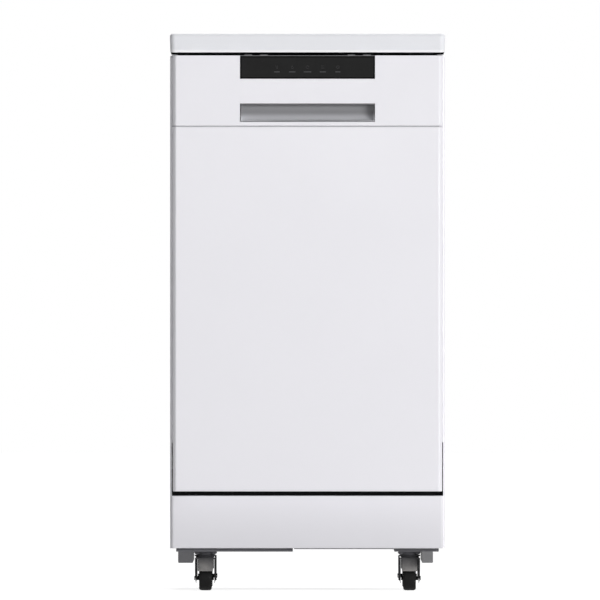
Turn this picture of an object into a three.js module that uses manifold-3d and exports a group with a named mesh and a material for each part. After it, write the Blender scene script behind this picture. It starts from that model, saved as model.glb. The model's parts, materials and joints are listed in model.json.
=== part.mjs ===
// Portable dishwasher on wheels, 18-inch class, built from its separate pieces.
// Millimetres, +Z up. The front faces -Y and +X is on the right, seen from the front.
// The origin is on the floor, under the middle of the machine.

import * as THREE from "three";
import { mergeVertices } from "three/addons/utils/BufferGeometryUtils.js";
import Module from "manifold-3d";

const wasm = await Module();
wasm.setup();

// ---- Driving dimensions -------------------------------------------------------------------

const seat = 0.3;                 // gap left between two pieces that rest on each other
const sheet = 1.2;                // folded steel of the cabinet and the door
const linerSheet = 1.5;           // stainless sheet of the tub and the door liner
const moulding = 2.5;             // wall of the plastic mouldings
const trayWall = 3;               // wall of the moulded base
const beyond = 1200;              // reach of a cutting block that passes the whole machine

const overallHeight = 910;
const cabinetWidth = 449;
const cabinetBack = 284;
const sideFlange = 12;            // folded edges of the side panels
const sideRound = 2.5;            // round of their outer folds
const rearPanelInset = 2.5;
const rearRib = { width: 26, endGap: 72, proud: 2.2 };

const worktopWidth = 450;
const worktopSetback = 3;         // its front edge, behind the door's face
const worktopOverhang = 7;        // its back edge, past the cabinet
const worktopThickness = 31.7;
const worktopCorner = 9;
const worktopEdgeRound = 3;
const worktopLip = 2.4;           // thin bright edging under the board
const shadowGap = 3.7;            // dark line between the cabinet and the worktop
const topFrameHeight = 13.4;
const topFrameWidth = 22;
const strikerWidth = 16;
const strikerThickness = 2.4;

const casterHeight = 63.7;        // floor to the top of the caster plate
const railPlateThickness = 5.1;
const toeHeight = 85.6;
const toeSetback = 30;            // behind the door's face
const toeCorner = 5;
const doorToToeGap = 7.5;

const doorSideGap = 4.5;          // from the edge of the door to the outside of the cabinet
const doorFront = -300;
const doorSkinDepth = 36;
const doorToCabinet = 2;          // gap between its back and the side panels' front folds
const doorCorner = 5;
const doorSeam = 1.5;             // groove between the door panel and the fascia
const fasciaHeight = 115;
const fasciaSetback = 0.6;
const rearFlange = 13;            // folded edge behind the door skin

const hingeInset = 20;            // pin's centre, behind the door's face
const hingePinRadius = 4;
const hingeClearance = 0.3;
const hingeLugThickness = 4;
const hingeRunningGap = 0.7;      // between a lug and the arm beside it
const hingeArmThickness = 4.3;
const hingeArmLength = 140;

const windowWidth = 220.6;
const windowHeight = 38.3;
const windowThickness = 3;
const windowDeck = 22;            // depth of its top edge, where the buttons sit
const buttonWidth = 13;
const buttonDepth = 8;
const buttonProud = 1.4;
const buttonFromEnd = 13.3;       // first button's centre, from the end of the window
const buttonPitch = 25.5;
const buttonSetback = 12;
const pocketWidth = 220.6;
const pocketHeight = 30;
const pocketAboveSeam = 6.5;
const pocketDepth = 26;
const pocketGrip = 11;            // how far the hollow reaches up behind its top edge
const pocketSweep = 24;           // height in which its floor bends up into the back

const tubSideSpace = 22.5;        // from the chamber's inside to the outside of the cabinet
const tubRearSpace = 54;
const tubHeadroom = 14.6;         // under the top frame
const tubFloorRise = 35.5;        // above the lower edge of the door
const tubCorner = 22;
const tubFlange = 17;
const tubTopFlange = 12;
const linerDepth = 19;
const linerSideGap = 8.5;
const linerTopGap = 0.1;          // under the top wall of the fascia
const linerBottomRise = 7;        // above the chamber's floor
const linerCorner = 14;
const linerProud = 2.4;           // height of its raised middle
const sealWidth = 7;
const sealDepth = 4.4;

const ledgeRise = 34;             // top of the tracks of the lower rack, above the floor
const ledgeDepth = 11;
const ledgeThickness = 3;

const sumpY = -40;
const sumpRadius = 90;
const sumpFacets = 20;
const sumpDepth = 48;
const sumpFlange = 5;
const filterCupY = -80;
const filterCupRadius = 31;
const filterCupDepth = 66;
const armPostRadius = 11;
const lowerArmRise = 15;          // underside of the lower spray arm, above the floor
const lowerArmSideGap = 24;       // from its tip to the chamber's wall
const upperArmSideGap = 34;       // from its tip to the side of the rack
const armThickness = 13;
const armHubRadius = 20;

const heaterSumpGap = 50;         // from the edge of the sump to the ring
const heaterY = -8;
const heaterRod = 3.4;
const floatStem = 3;
const floatSideGap = 52;
const floatFrontGap = 43.5;
const feedPipeRadius = 9;
const feedPipeRearGap = 16;       // from its centre to the back wall
const feedPortSetback = 14;       // its port in the floor stands this much in front of it
const feedRadius = 8;             // pipe under the upper rack
const dockingGap = 26;            // room between the rack's pipe and the riser behind it

const rackSideGap = 18;
const rackRearGap = 36;
const wireWidth = 3.4;             // rack wire, across its flats
const rimWireWidth = 4.6;
const wireSides = 4;
const tineWidth = 2.6;
const weldBite = 0.6;             // how far crossing wires sink into each other
const loopCorner = 12;            // bend of the loops round a rack
const bowInset = 26;              // first and last lengthwise wire, from the rack's sides
const lowerRackClear = 20;        // its floor, above the tracks
const lowerRackHeight = 120;
const lowerLoopHeight = 60;
const lowerTines = { front: 105, back: 44, height: 78, lean: 6 };
const lowerRackFrontGap = 23.5;
const lowerRackRise = 34;         // how much higher the floor is at the front edge
const lowerRackSlope = 68;        // length of the rising stretch
const rackWheelRadius = 15;
const rackWheelWidth = 8;
const rackWheelGap = 1;
const upperRackDrop = 250;        // its floor, below the ceiling
const upperRackHeight = 116;
const upperLoopHeight = 50;
const upperTines = { front: 85, back: 54, height: 46 };
const upperRackFrontGap = 13.5;
const upperRackInset = 4;         // it is narrower than the lower one by this much on each side
const railHeight = 16;
const railAboveFloor = 68;
const railDepth = 9;
const railWallGap = 3;
const railSetback = 6;
const railRearGap = 13;
const rollerRearGap = 76;         // back rollers of the rack
const rollerSpacing = 134;        // front rollers that stay in the rail when the rack is out
const bracketFrontGap = 18.5;
const bracketLength = 130;
const bracketRollers = [20, 108];

const basketWidth = 72;
const basketLength = 236;
const basketHeight = 116;
const basketWall = 2.2;
const basketSideGap = 13;

const casterSideInset = 57.5;
const casterFrontInset = 47;
const casterRearInset = 69;
const casterTrail = 13;
const wheelRadius = 20;
const wheelWidth = 21;
const wheelFacets = 14;
const raceRadius = 19.4;           // ball races, just clear of the box section beside them
const raceHeight = 4.5;
const casterPlate = { width: 37, length: 42, thickness: 2.2 };
const forkLeg = 3.2;
const forkGap = 3.5;              // between a leg and the wheel
const forkCrown = 3;
const forkHalfDepth = 9.2;        // half of the crown, front to back
const apronThickness = 2.4;
const apronRise = 11.4;           // lower edge of the fork's front plate, above the axle
const legDrop = 8.2;              // tips of its legs, below the axle
const axleRadius = 3.4;
const axleHead = 1.5;             // how far the bolt head and nut stand out

// ---- Levels that follow from them ---------------------------------------------------------

const baseBottom = casterHeight + seat + railPlateThickness + seat;
const toeTop = baseBottom + toeHeight;
const doorBottom = toeTop + doorToToeGap;
const worktopBottom = overallHeight - worktopThickness;
const cabinetTop = worktopBottom - shadowGap;
const fasciaBottom = cabinetTop - fasciaHeight;
const doorTop = fasciaBottom - doorSeam;
const topFrameBottom = worktopBottom - seat - topFrameHeight;
const tubFloor = doorBottom + tubFloorRise;
const tubCeiling = topFrameBottom - tubHeadroom;
const linerBottom = tubFloor + linerBottomRise;
const linerTop = cabinetTop - moulding - linerTopGap;
const hingeHeight = tubFloor;
const lugTop = tubFloor - 8;
const ledgeHeight = tubFloor + ledgeRise;
const lowerArmHeight = tubFloor + lowerArmRise;
const lowerRackFloor = ledgeHeight + lowerRackClear;
const lowerRackRim = lowerRackFloor + lowerRackHeight;
const upperRackFloor = tubCeiling - upperRackDrop;
const upperRackRim = upperRackFloor + upperRackHeight;
const railCentre = upperRackFloor + railAboveFloor;
const apronBottom = wheelRadius + apronRise;
const legTip = wheelRadius - legDrop;

// ---- Depths from front to back --------------------------------------------------------------

const doorSkinBack = doorFront + doorSkinDepth;
const cabinetFront = doorSkinBack + doorToCabinet;
const worktopFront = doorFront + worktopSetback;
const worktopBack = cabinetBack + worktopOverhang;
const toeFront = doorFront + toeSetback;
const hingeY = doorFront + hingeInset;
const linerFace = doorSkinBack + linerDepth;
const tubFront = linerFace + seat + sealDepth + seat + linerSheet;
const tubBack = cabinetBack - tubRearSpace;
const feedPipeY = tubBack - feedPipeRearGap;
const rackBack = tubBack - rackRearGap;
const lowerRackFront = tubFront + lowerRackFrontGap;
const upperRackFront = tubFront + upperRackFrontGap;
const casterFrontY = cabinetFront + casterFrontInset;
const casterBackY = cabinetBack - casterRearInset;

// ---- Half widths ------------------------------------------------------------------------------

const halfCabinet = cabinetWidth / 2;
const halfDoor = halfCabinet - doorSideGap;
const sideFlangeInner = halfCabinet - sideFlange;
const linerHalfWidth = halfDoor - linerSideGap;
const hingeArmOuter = halfDoor - sheet - seat;
const hingeLugOffset = hingeArmOuter - hingeArmThickness - hingeRunningGap - hingeLugThickness;
const tubHalfWidth = halfCabinet - tubSideSpace;
const rackHalfWidth = tubHalfWidth - rackSideGap;
const lowerArmReach = tubHalfWidth - lowerArmSideGap;
const upperArmReach = rackHalfWidth - upperArmSideGap;
const heaterRadius = sumpRadius + heaterSumpGap;
const casterX = halfCabinet - casterSideInset;
const buttonOuter = windowWidth / 2 - buttonFromEnd;
const buttonCentres = [-buttonOuter, buttonPitch - buttonOuter, buttonOuter - buttonPitch, buttonOuter];

// ---- Materials ----------------------------------------------------------------------------

const material = (color, roughness, metalness = 0) =>
  new THREE.MeshStandardMaterial({ color, roughness, metalness });
const whiteEnamel = material(0xe7e6eb, 0.35);
const whiteMoulding = material(0xe3e2e6, 0.45);
const darkWindow = material(0x2a2a2a, 0.15);
const greyMoulding = material(0x8c8d90, 0.5);
const darkSteel = material(0x4a4b4d, 0.45, 0.8);
const zincSteel = material(0x9a9c9f, 0.4, 0.9);
const stainless = material(0xc4c6c8, 0.28, 1);
const blackRubber = material(0x1e1e1e, 0.75);
const coatedWire = material(0xb4b8be, 0.4);
const greyPlastic = material(0x6f7276, 0.5);
const blackPlastic = material(0x26272a, 0.5);

// ---- Solid helpers ------------------------------------------------------------------------

function solid(geometry) {
  const bare = geometry.index ? geometry.toNonIndexed() : geometry.clone();
  bare.deleteAttribute("normal");
  bare.deleteAttribute("uv");
  const merged = mergeVertices(bare, 1e-4);
  return new wasm.Manifold(new wasm.Mesh({
    numProp: 3,
    vertProperties: Float32Array.from(merged.attributes.position.array),
    triVerts: Uint32Array.from(merged.index.array),
  }));
}

function geometryOf(manifold) {
  const mesh = manifold.getMesh();
  const geometry = new THREE.BufferGeometry();
  geometry.setAttribute("position", new THREE.BufferAttribute(Float32Array.from(mesh.vertProperties), 3));
  geometry.setIndex(new THREE.BufferAttribute(Uint32Array.from(mesh.triVerts), 1));
  geometry.computeVertexNormals();
  return geometry;
}

const join = (...solids) => solids.flat().reduce((all, next) => all.add(next));
const cut = (body, ...tools) => tools.flat().reduce((rest, tool) => rest.subtract(tool), body);

// A block given by its limits along X, Y and Z.
function block([x0, x1], [y0, y1], [z0, z1]) {
  const geometry = new THREE.BoxGeometry(x1 - x0, y1 - y0, z1 - z0);
  geometry.translate((x0 + x1) / 2, (y0 + y1) / 2, (z0 + z1) / 2);
  return solid(geometry);
}

const span = (centre, width) => [centre - width / 2, centre + width / 2];

function roundedRectangle([x0, x1], [y0, y1], radius) {
  const shape = new THREE.Shape();
  shape.moveTo(x0 + radius, y0);
  shape.lineTo(x1 - radius, y0);
  shape.absarc(x1 - radius, y0 + radius, radius, -Math.PI / 2, 0);
  shape.lineTo(x1, y1 - radius);
  shape.absarc(x1 - radius, y1 - radius, radius, 0, Math.PI / 2);
  shape.lineTo(x0 + radius, y1);
  shape.absarc(x0 + radius, y1 - radius, radius, Math.PI / 2, Math.PI);
  shape.lineTo(x0, y0 + radius);
  shape.absarc(x0 + radius, y0 + radius, radius, Math.PI, Math.PI * 1.5);
  return shape;
}

// Extrudes a plan outline (X, Y) from z0 to z1.
function upright(shape, [z0, z1], curveSegments = 3) {
  const geometry = new THREE.ExtrudeGeometry(shape, { depth: z1 - z0, bevelEnabled: false, curveSegments });
  geometry.translate(0, 0, z0);
  return solid(geometry);
}

// Extrudes a front outline (X, Z) from y0 back to y1.
function facing(shape, [y0, y1], curveSegments = 2) {
  const geometry = new THREE.ExtrudeGeometry(shape, { depth: y1 - y0, bevelEnabled: false, curveSegments });
  geometry.rotateX(Math.PI / 2);
  geometry.translate(0, y1, 0);
  return solid(geometry);
}

// Extrudes a side outline (Y, Z) from x0 to x1.
function sideways(shape, [x0, x1], curveSegments = 2) {
  const geometry = new THREE.ExtrudeGeometry(shape, { depth: x1 - x0, bevelEnabled: false, curveSegments });
  geometry.applyMatrix4(new THREE.Matrix4().set(0, 0, 1, x0, 1, 0, 0, 0, 0, 1, 0, 0, 0, 0, 0, 1));
  return solid(geometry);
}

function polygon(points) {
  return new THREE.Shape(points.map(([a, b]) => new THREE.Vector2(a, b)));
}

// A solid of revolution about a vertical axis through (x, y). The profile holds [radius, z] pairs.
function turned(profile, [x, y], sides) {
  const points = profile.map(([radius, z]) => new THREE.Vector2(radius, z));
  const geometry = new THREE.LatheGeometry(points, sides);
  geometry.rotateX(Math.PI / 2);
  geometry.translate(x, y, 0);
  return solid(geometry);
}

const disc = (radius, [z0, z1], centre, sides) =>
  turned([[0, z0], [radius, z0], [radius, z1], [0, z1]], centre, sides);

// A round bar along X, from x0 to x1, through (y, z).
function barX(radius, [x0, x1], [y, z], sides) {
  const geometry = new THREE.CylinderGeometry(radius, radius, x1 - x0, sides);
  geometry.rotateZ(Math.PI / 2);
  geometry.translate((x0 + x1) / 2, y, z);
  return solid(geometry);
}

// A round bar along Y, from y0 to y1, through (x, z).
function barY(radius, [y0, y1], [x, z], sides) {
  const geometry = new THREE.CylinderGeometry(radius, radius, y1 - y0, sides);
  geometry.translate(0, (y0 + y1) / 2, 0);
  geometry.translate(x, 0, z);
  return solid(geometry);
}

// A bent wire or tube: a many-sided section swept along straight runs, mitred at each bend.
// width is the size of the section across its flats.
function wire(points, width, sides = wireSides, closed = false) {
  const radius = width / 2 / Math.cos(Math.PI / sides);
  const path = points.map((point) => new THREE.Vector3(...point));
  const count = path.length;
  const run = (i) => {
    const from = path[(i + count) % count];
    const to = path[(i + 1 + count) % count];
    return to.clone().sub(from).normalize();
  };
  const flatten = (vector, normal) => vector.addScaledVector(normal, -vector.dot(normal)).normalize();
  const side = new THREE.Vector3(0, 0, 1);
  if (Math.abs(run(0).z) > 0.9) side.set(1, 0, 0);
  const positions = [];
  for (let i = 0; i < count; i++) {
    const before = closed || i > 0 ? run(i - 1) : run(i);
    const after = closed || i < count - 1 ? run(i) : before;
    const mitre = before.clone().add(after).normalize();
    flatten(side, before);
    const up = before.clone().cross(side);
    for (let k = 0; k < sides; k++) {
      const angle = (2 * Math.PI * (k + 0.5)) / sides;
      const corner = side.clone().multiplyScalar(Math.cos(angle) * radius);
      corner.addScaledVector(up, Math.sin(angle) * radius);
      corner.addScaledVector(before, -corner.dot(mitre) / before.dot(mitre));
      positions.push(...corner.add(path[i]).toArray());
    }
  }
  const index = [];
  for (let i = 0; i < (closed ? count : count - 1); i++) {
    for (let k = 0; k < sides; k++) {
      const next = (k + 1) % sides;
      const here = i * sides;
      const there = ((i + 1) % count) * sides;
      index.push(here + k, here + next, there + k, here + next, there + next, there + k);
    }
  }
  const last = (count - 1) * sides;
  for (let k = 1; k < sides - 1 && !closed; k++) {
    index.push(0, k + 1, k, last, last + k, last + k + 1);
  }
  const geometry = new THREE.BufferGeometry();
  geometry.setAttribute("position", new THREE.Float32BufferAttribute(positions, 3));
  geometry.setIndex(index);
  return solid(geometry);
}

// ---- Assembly -----------------------------------------------------------------------------

const dishwasher = new THREE.Group();

function place(name, body, finish, parent = dishwasher) {
  const mesh = new THREE.Mesh(geometryOf(body), finish);
  mesh.name = name;
  parent.add(mesh);
  return mesh;
}

// ---- Cabinet ------------------------------------------------------------------------------

function worktop() {
  const half = worktopWidth / 2;
  const inset = worktopEdgeRound;
  const outline = roundedRectangle([inset - half, half - inset],
    [worktopFront + inset, worktopBack - inset], worktopCorner - inset);
  const depth = worktopThickness - worktopLip - 2 * worktopEdgeRound;
  const board = new THREE.ExtrudeGeometry(outline, {
    depth, bevelThickness: worktopEdgeRound, bevelSize: worktopEdgeRound, bevelSegments: 1, curveSegments: 3,
  });
  board.translate(0, 0, worktopBottom + worktopLip + worktopEdgeRound);
  const draw = 0.6;
  const lip = roundedRectangle([draw - half, half - draw],
    [worktopFront + draw, worktopBack - draw], worktopCorner);
  return join(solid(board), upright(lip, [worktopBottom, worktopBottom + worktopLip + worktopEdgeRound], 3));
}

// A rectangular ring of folded stretchers, open underneath, with the latch striker in front.
function topFrame() {
  const half = sideFlangeInner - seat;
  const z = [topFrameBottom, worktopBottom - seat];
  const y = [tubFront + 0.5, cabinetBack - sheet - seat];
  const ring = cut(block([-half, half], y, z),
    block([topFrameWidth - half, half - topFrameWidth], [y[0] + topFrameWidth, y[1] - topFrameWidth],
      [z[0] - 1, z[1] + 1]));
  const inner = topFrameWidth - linerSheet;
  const hollow = cut(
    block([linerSheet - half, half - linerSheet], [y[0] + linerSheet, y[1] - linerSheet],
      [z[0] - 1, z[1] - linerSheet]),
    block([inner - half, half - inner], [y[0] + inner, y[1] - inner], [z[0] - 2, z[1]]));
  const striker = block(span(0, strikerWidth), [linerFace - 12, y[0] + 4], [z[0], z[0] + strikerThickness]);
  return join(cut(ring, hollow), striker);
}

// A folded sheet with a front, a top and a rear flange. side is -1 on the left, +1 on the right.
function sidePanel(side) {
  const radius = sideRound;
  const x = [sideFlangeInner, halfCabinet];
  const outline = new THREE.Shape();
  outline.moveTo(x[0], cabinetFront);
  outline.lineTo(x[1] - radius, cabinetFront);
  outline.absarc(x[1] - radius, cabinetFront + radius, radius, -Math.PI / 2, 0);
  outline.lineTo(x[1], cabinetBack - radius);
  outline.absarc(x[1] - radius, cabinetBack - radius, radius, 0, Math.PI / 2);
  outline.lineTo(x[0], cabinetBack);
  outline.closePath();
  const panel = cut(upright(outline, [baseBottom, cabinetTop]),
    block([x[0] - 1, x[1] - sheet], [cabinetFront + sheet, cabinetBack - sheet],
      [baseBottom - 1, cabinetTop - sheet]),
    block([x[0] - 1, halfDoor + sweepSideGap], [cabinetFront - 1, cabinetFront + sheet + 1],
      [baseBottom - 1, doorSweepTop()]));
  return side < 0 ? panel.mirror([1, 0, 0]) : panel;
}

const sweepSideGap = 2.3;
const sweepTopGap = 3.5;

// The front flange stops above the space that the foot of the turning door sweeps.
function doorSweepTop() {
  const reach = Math.hypot(hingeY - doorFront, hingeHeight - doorBottom);
  return hingeHeight + reach + sweepTopGap;
}

function rearPanel() {
  const half = halfCabinet - rearPanelInset;
  const y = [cabinetBack + seat, cabinetBack + seat + sheet];
  const z = [baseBottom + 62, cabinetTop - 2];
  const ribHalf = half - rearRib.endGap;
  const rib = (height) => {
    const shape = roundedRectangle([-ribHalf, ribHalf], span(height, rearRib.width), rearRib.width / 2 - 0.1);
    return facing(shape, [y[0], y[1] + rearRib.proud], 2);
  };
  const ribs = [0.28, 0.5, 0.72].map((share) => rib(z[0] + (z[1] - z[0]) * share));
  return join(block([-half, half], y, z), ribs);
}

function hingeLug(side) {
  const hub = hingePinRadius + 4;
  const outline = new THREE.Shape();
  outline.moveTo(tubFront + 4, lugTop - 17);
  outline.lineTo(tubFront + 4, lugTop);
  outline.lineTo(tubFront - 5, lugTop);
  outline.lineTo(hingeY + hub * 0.5, hingeHeight + hub * 0.87);
  outline.absarc(hingeY, hingeHeight, hub, Math.PI / 3, Math.PI * 1.5, false);
  outline.lineTo(tubFront - 5, lugTop - 9);
  outline.closePath();
  const x = [hingeLugOffset, hingeLugOffset + hingeLugThickness];
  const lug = sideways(outline, x, 5);
  const hole = barX(hingePinRadius + hingeClearance, [x[0] - 1, x[1] + 1], [hingeY, hingeHeight], 12);
  const body = cut(lug, hole);
  return side < 0 ? body.mirror([1, 0, 0]) : body;
}

const trayFront = tubFront + 2.5;
const trayTop = tubFloor - linerSheet - seat;
const trayHalf = halfCabinet - sheet - seat;
const trayBack = cabinetBack - sheet - seat;
const inletX = -130;
const drainX = -70;
const connectionHeight = 112;
const connectionHole = 13.5;

function baseTray() {
  const body = cut(block([-trayHalf, trayHalf], [trayFront, trayBack], [baseBottom, trayTop]),
    block([trayWall - trayHalf, trayHalf - trayWall], [trayFront + trayWall, trayBack - trayWall],
      [baseBottom + trayWall, trayTop - trayWall]),
    block([24 - trayHalf, trayHalf - 24], [trayFront + 22, trayBack - 22], [trayTop - 20, trayTop + 1]),
    [inletX, drainX].map((x) =>
      barY(connectionHole + seat, [trayBack - 10, trayBack + 10], [x, connectionHeight], 12)));
  return join(body, hingeLug(-1), hingeLug(1));
}

// A plate that the casters bolt under, with a box section beside them that is capped in front.
const boxSection = { inner: casterX + raceRadius + 0.6, height: 18, wall: 2 };
const railPlate = { outer: halfCabinet - 9.8, endGap: 35 };

function baseRail(side, innerEnd, boxOuter) {
  const limits = side < 0 ? [-railPlate.outer, -innerEnd] : [innerEnd, railPlate.outer];
  const z0 = casterHeight + seat;
  const y = [casterFrontY - railPlate.endGap, casterBackY + railPlate.endGap];
  const plate = block(limits, y, [z0, z0 + railPlateThickness]);
  const boxX = side < 0 ? [-boxOuter, -boxSection.inner] : [boxSection.inner, boxOuter];
  const { wall } = boxSection;
  const box = block(boxX, y, [z0 - boxSection.height, z0 + 0.5]);
  const bore = block([boxX[0] + wall, boxX[1] - wall], [y[0] + wall, y[1] + 1],
    [z0 - boxSection.height + wall, z0 - wall]);
  return join(plate, box).subtract(bore);
}

function toePanel() {
  const half = trayHalf - 1;
  const outline = roundedRectangle([-half, half], [toeFront, trayFront - seat + toeCorner], toeCorner);
  const back = block([-beyond, beyond], [trayFront - seat, beyond], [-beyond, beyond]);
  const body = cut(upright(outline, [baseBottom, toeTop], 3), back);
  const inside = block([moulding - half, half - moulding], [toeFront + moulding, trayFront + 1],
    [baseBottom + moulding, toeTop - moulding]);
  const groove = block([-beyond, beyond], [toeFront - 1, toeFront + 1], [baseBottom + 6, baseBottom + 8]);
  return cut(body, inside, groove);
}

place("worktop", worktop(), whiteMoulding);
place("top_frame", topFrame(), darkSteel);
place("side_panel_left", sidePanel(-1), whiteEnamel);
place("side_panel_right", sidePanel(1), whiteEnamel);
place("rear_panel", rearPanel(), zincSteel);
place("base_tray", baseTray(), greyPlastic);
place("base_rail_left", baseRail(-1, 24, halfCabinet - 13), darkSteel);
place("base_rail_right", baseRail(1, casterX - 25, halfCabinet - 19.3), darkSteel);
place("toe_panel", toePanel(), whiteEnamel);

// ---- Casters ------------------------------------------------------------------------------

const forkTop = casterHeight - casterPlate.thickness - raceHeight + 1.5;
const forkHalf = wheelWidth / 2 + forkGap + forkLeg;
const crownTop = forkTop - raceHeight;

function casterMount() {
  const plateBottom = casterHeight - casterPlate.thickness;
  const plate = block(span(0, casterPlate.width), span(0, casterPlate.length), [plateBottom, casterHeight]);
  const race = turned([[0, forkTop + seat], [raceRadius - 1.5, forkTop + seat], [raceRadius, forkTop + 1.5],
    [raceRadius - 1, plateBottom + 0.5], [0, plateBottom + 0.5]], [0, 0], 12);
  return join(plate, race);
}

// Pressed from one plate: a crown under the balls, an apron in front of the wheel and two legs.
function casterFork() {
  const race = turned([[0, crownTop - 1], [raceRadius - 1.2, crownTop], [raceRadius, crownTop + 1.5],
    [raceRadius - 1.5, forkTop], [0, forkTop]], [0, 0], 12);
  const side = polygon([[-forkHalfDepth, crownTop + 0.5], [forkHalfDepth, crownTop + 0.5],
    [forkHalfDepth, 2 * wheelRadius + 5], [casterTrail + 7.5, wheelRadius + 8],
    [casterTrail + 7.5, wheelRadius - 1], [casterTrail + 2, legTip], [casterTrail - 2, legTip],
    [casterTrail - 8, wheelRadius + 1], [-forkHalfDepth, apronBottom]]);
  const body = sideways(side, [-forkHalf, forkHalf]);
  const inside = forkHalf - forkLeg;
  const wheelSpace = block([-inside, inside], [apronThickness - forkHalfDepth, casterTrail + 2 * wheelRadius],
    [0, crownTop - forkCrown]);
  const axleHole = barX(axleRadius + 2 * seat, [-beyond, beyond], [casterTrail, wheelRadius], 6);
  return join(cut(body, wheelSpace, axleHole), race);
}

function casterWheel() {
  const half = wheelWidth / 2;
  const hollow = half - 1.6;
  const profile = [[0, -hollow], [13, -hollow], [14.5, -half], [wheelRadius, -half + 4],
    [wheelRadius, half - 4], [14.5, half], [13, hollow], [0, hollow]];
  const points = profile.map(([radius, across]) => new THREE.Vector2(radius, across));
  const geometry = new THREE.LatheGeometry(points, wheelFacets, Math.PI / wheelFacets);
  geometry.rotateZ(-Math.PI / 2);
  const axle = barX(axleRadius, span(0, 2 * (forkHalf + axleHead)), [0, 0], 6);
  const facetDrop = Math.cos(Math.PI / wheelFacets);
  geometry.scale(1, 1 / facetDrop, 1 / facetDrop);
  return join(solid(geometry), axle);
}

for (const [end, y] of [["front", casterFrontY], ["rear", casterBackY]]) {
  for (const [side, x] of [["left", -casterX], ["right", casterX]]) {
    const caster = new THREE.Group();
    caster.position.set(x, y, 0);
    dishwasher.add(caster);
    place(`caster_mount_${end}_${side}`, casterMount(), zincSteel, caster);
    place(`caster_fork_${end}_${side}`, casterFork(), darkSteel, caster);
    const wheel = place(`caster_wheel_${end}_${side}`, casterWheel(), blackRubber, caster);
    wheel.position.set(0, casterTrail, wheelRadius);
  }
}

// ---- Door ---------------------------------------------------------------------------------

function doorPanel() {
  const outline = (inset) => roundedRectangle([inset - halfDoor, halfDoor - inset],
    [doorFront + inset, doorSkinBack + 20 - inset], doorCorner - inset);
  const z = [doorBottom, doorTop];
  const behind = (y) => block([-beyond, beyond], [y, y + 3 * doorSkinDepth], [-beyond, beyond]);
  const tray = cut(upright(outline(0), z, 4), behind(doorSkinBack));
  const inner = doorSkinBack - sheet;
  const hollow = cut(upright(outline(sheet), [z[0] + sheet, z[1] - sheet], 4), behind(inner));
  const opening = block([rearFlange - halfDoor, halfDoor - rearFlange], [inner - 2, doorSkinBack + 1],
    [z[0] + rearFlange, z[1] - rearFlange]);
  const notches = [-1, 1].map((side) => {
    const limits = [hingeLugOffset - 1, hingeLugOffset + hingeLugThickness + 1].map((x) => x * side);
    limits.sort((a, b) => a - b);
    return block(limits, [doorFront + sheet, doorSkinBack + 1], [z[0] - 1, hingeHeight + 20]);
  });
  return cut(tray, hollow, opening, notches);
}

const latchSlot = { z0: topFrameBottom - 2.2, z1: topFrameBottom + 5.4, half: 11 };

function doorLiner() {
  const front = doorSkinBack + seat;
  const outline = roundedRectangle([-linerHalfWidth, linerHalfWidth], [linerBottom, linerTop], linerCorner);
  const inset = roundedRectangle([linerSheet - linerHalfWidth, linerHalfWidth - linerSheet],
    [linerBottom + linerSheet, linerTop - linerSheet], linerCorner - linerSheet);
  const pan = cut(facing(outline, [front, linerFace]), facing(inset, [front - 1, linerFace - linerSheet]));
  const half = linerHalfWidth - 34;
  const field = [linerBottom + 40, linerTop - 52];
  const raised = facing(roundedRectangle([-half, half], field, 20), [linerFace - linerSheet, linerField]);
  const under = facing(roundedRectangle([2 - half, half - 2], [field[0] + 2, field[1] - 2], 18),
    [linerFace - linerSheet - 1, linerField - linerSheet]);
  const slot = block([-latchSlot.half, latchSlot.half], [linerFace - 4, linerFace + 4],
    [latchSlot.z0, latchSlot.z1]);
  const dispenserHole = facing(dispenserBoxOutline(seat), [linerFace - 6, linerFace + 6]);
  return cut(pan.add(raised), under, slot, dispenserHole);
}

const dispenser = { x: [-92, 72], z: [430, 522], depth: 16, proud: 3, flange: 4 };
const linerField = linerFace + linerProud;
const dispenserFace = linerField + dispenser.proud;
const detergentCup = { x: [-82, -20], z: [444, 508], depth: 14 };
const lidGap = 0.4;
const lidThickness = 3.4;
const lidHingeRadius = 2.4;
const capCentre = [32, 476];
const capRadius = 17;

// Outline of the box behind the flange, larger by a gap for the hole that it sits in.
function dispenserBoxOutline(gap) {
  const { x, z, flange } = dispenser;
  const inset = flange - gap;
  return roundedRectangle([x[0] + inset, x[1] - inset], [z[0] + inset, z[1] - inset], 7);
}

function dispenserBody() {
  const flange = facing(roundedRectangle(dispenser.x, dispenser.z, 9), [linerField + seat, dispenserFace]);
  const box = facing(dispenserBoxOutline(0), [linerFace - dispenser.depth, linerField + seat + 1]);
  const cup = facing(roundedRectangle(detergentCup.x, detergentCup.z, 8),
    [dispenserFace - detergentCup.depth, dispenserFace + 1]);
  return cut(join(flange, box), cup);
}

// The lid lies on the cup and turns down about a barrel along its lower edge.
const lidAxis = { y: dispenserFace + lidGap + lidHingeRadius, z: detergentCup.z[0] - 6 };

function dispenserLid() {
  const y0 = dispenserFace + lidGap;
  const x = [detergentCup.x[0] - 4, detergentCup.x[1] + 4];
  const plate = facing(roundedRectangle(x, [lidAxis.z, detergentCup.z[1] + 5], 4), [y0, y0 + lidThickness]);
  const barrel = barX(lidHingeRadius, x, [lidAxis.y, lidAxis.z], 10);
  const lip = block(span((x[0] + x[1]) / 2, 24), [y0 + lidThickness - 0.5, y0 + lidThickness + 3],
    [detergentCup.z[1] - 3, detergentCup.z[1] + 1]);
  return join(plate, barrel, lip);
}

function rinseAidCap() {
  const y0 = dispenserFace + lidGap;
  const [x, z] = capCentre;
  const round = barY(capRadius, [y0, y0 + 4], [x, z], 24);
  const grip = block([x - 3, x + 3], [y0 + 3, y0 + 9], span(z, 2 * capRadius - 5));
  return join(round, grip);
}

const fasciaFront = doorFront + fasciaSetback;
const windowBottom = cabinetTop - windowHeight;
const pocketBottom = fasciaBottom + pocketAboveSeam;

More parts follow.
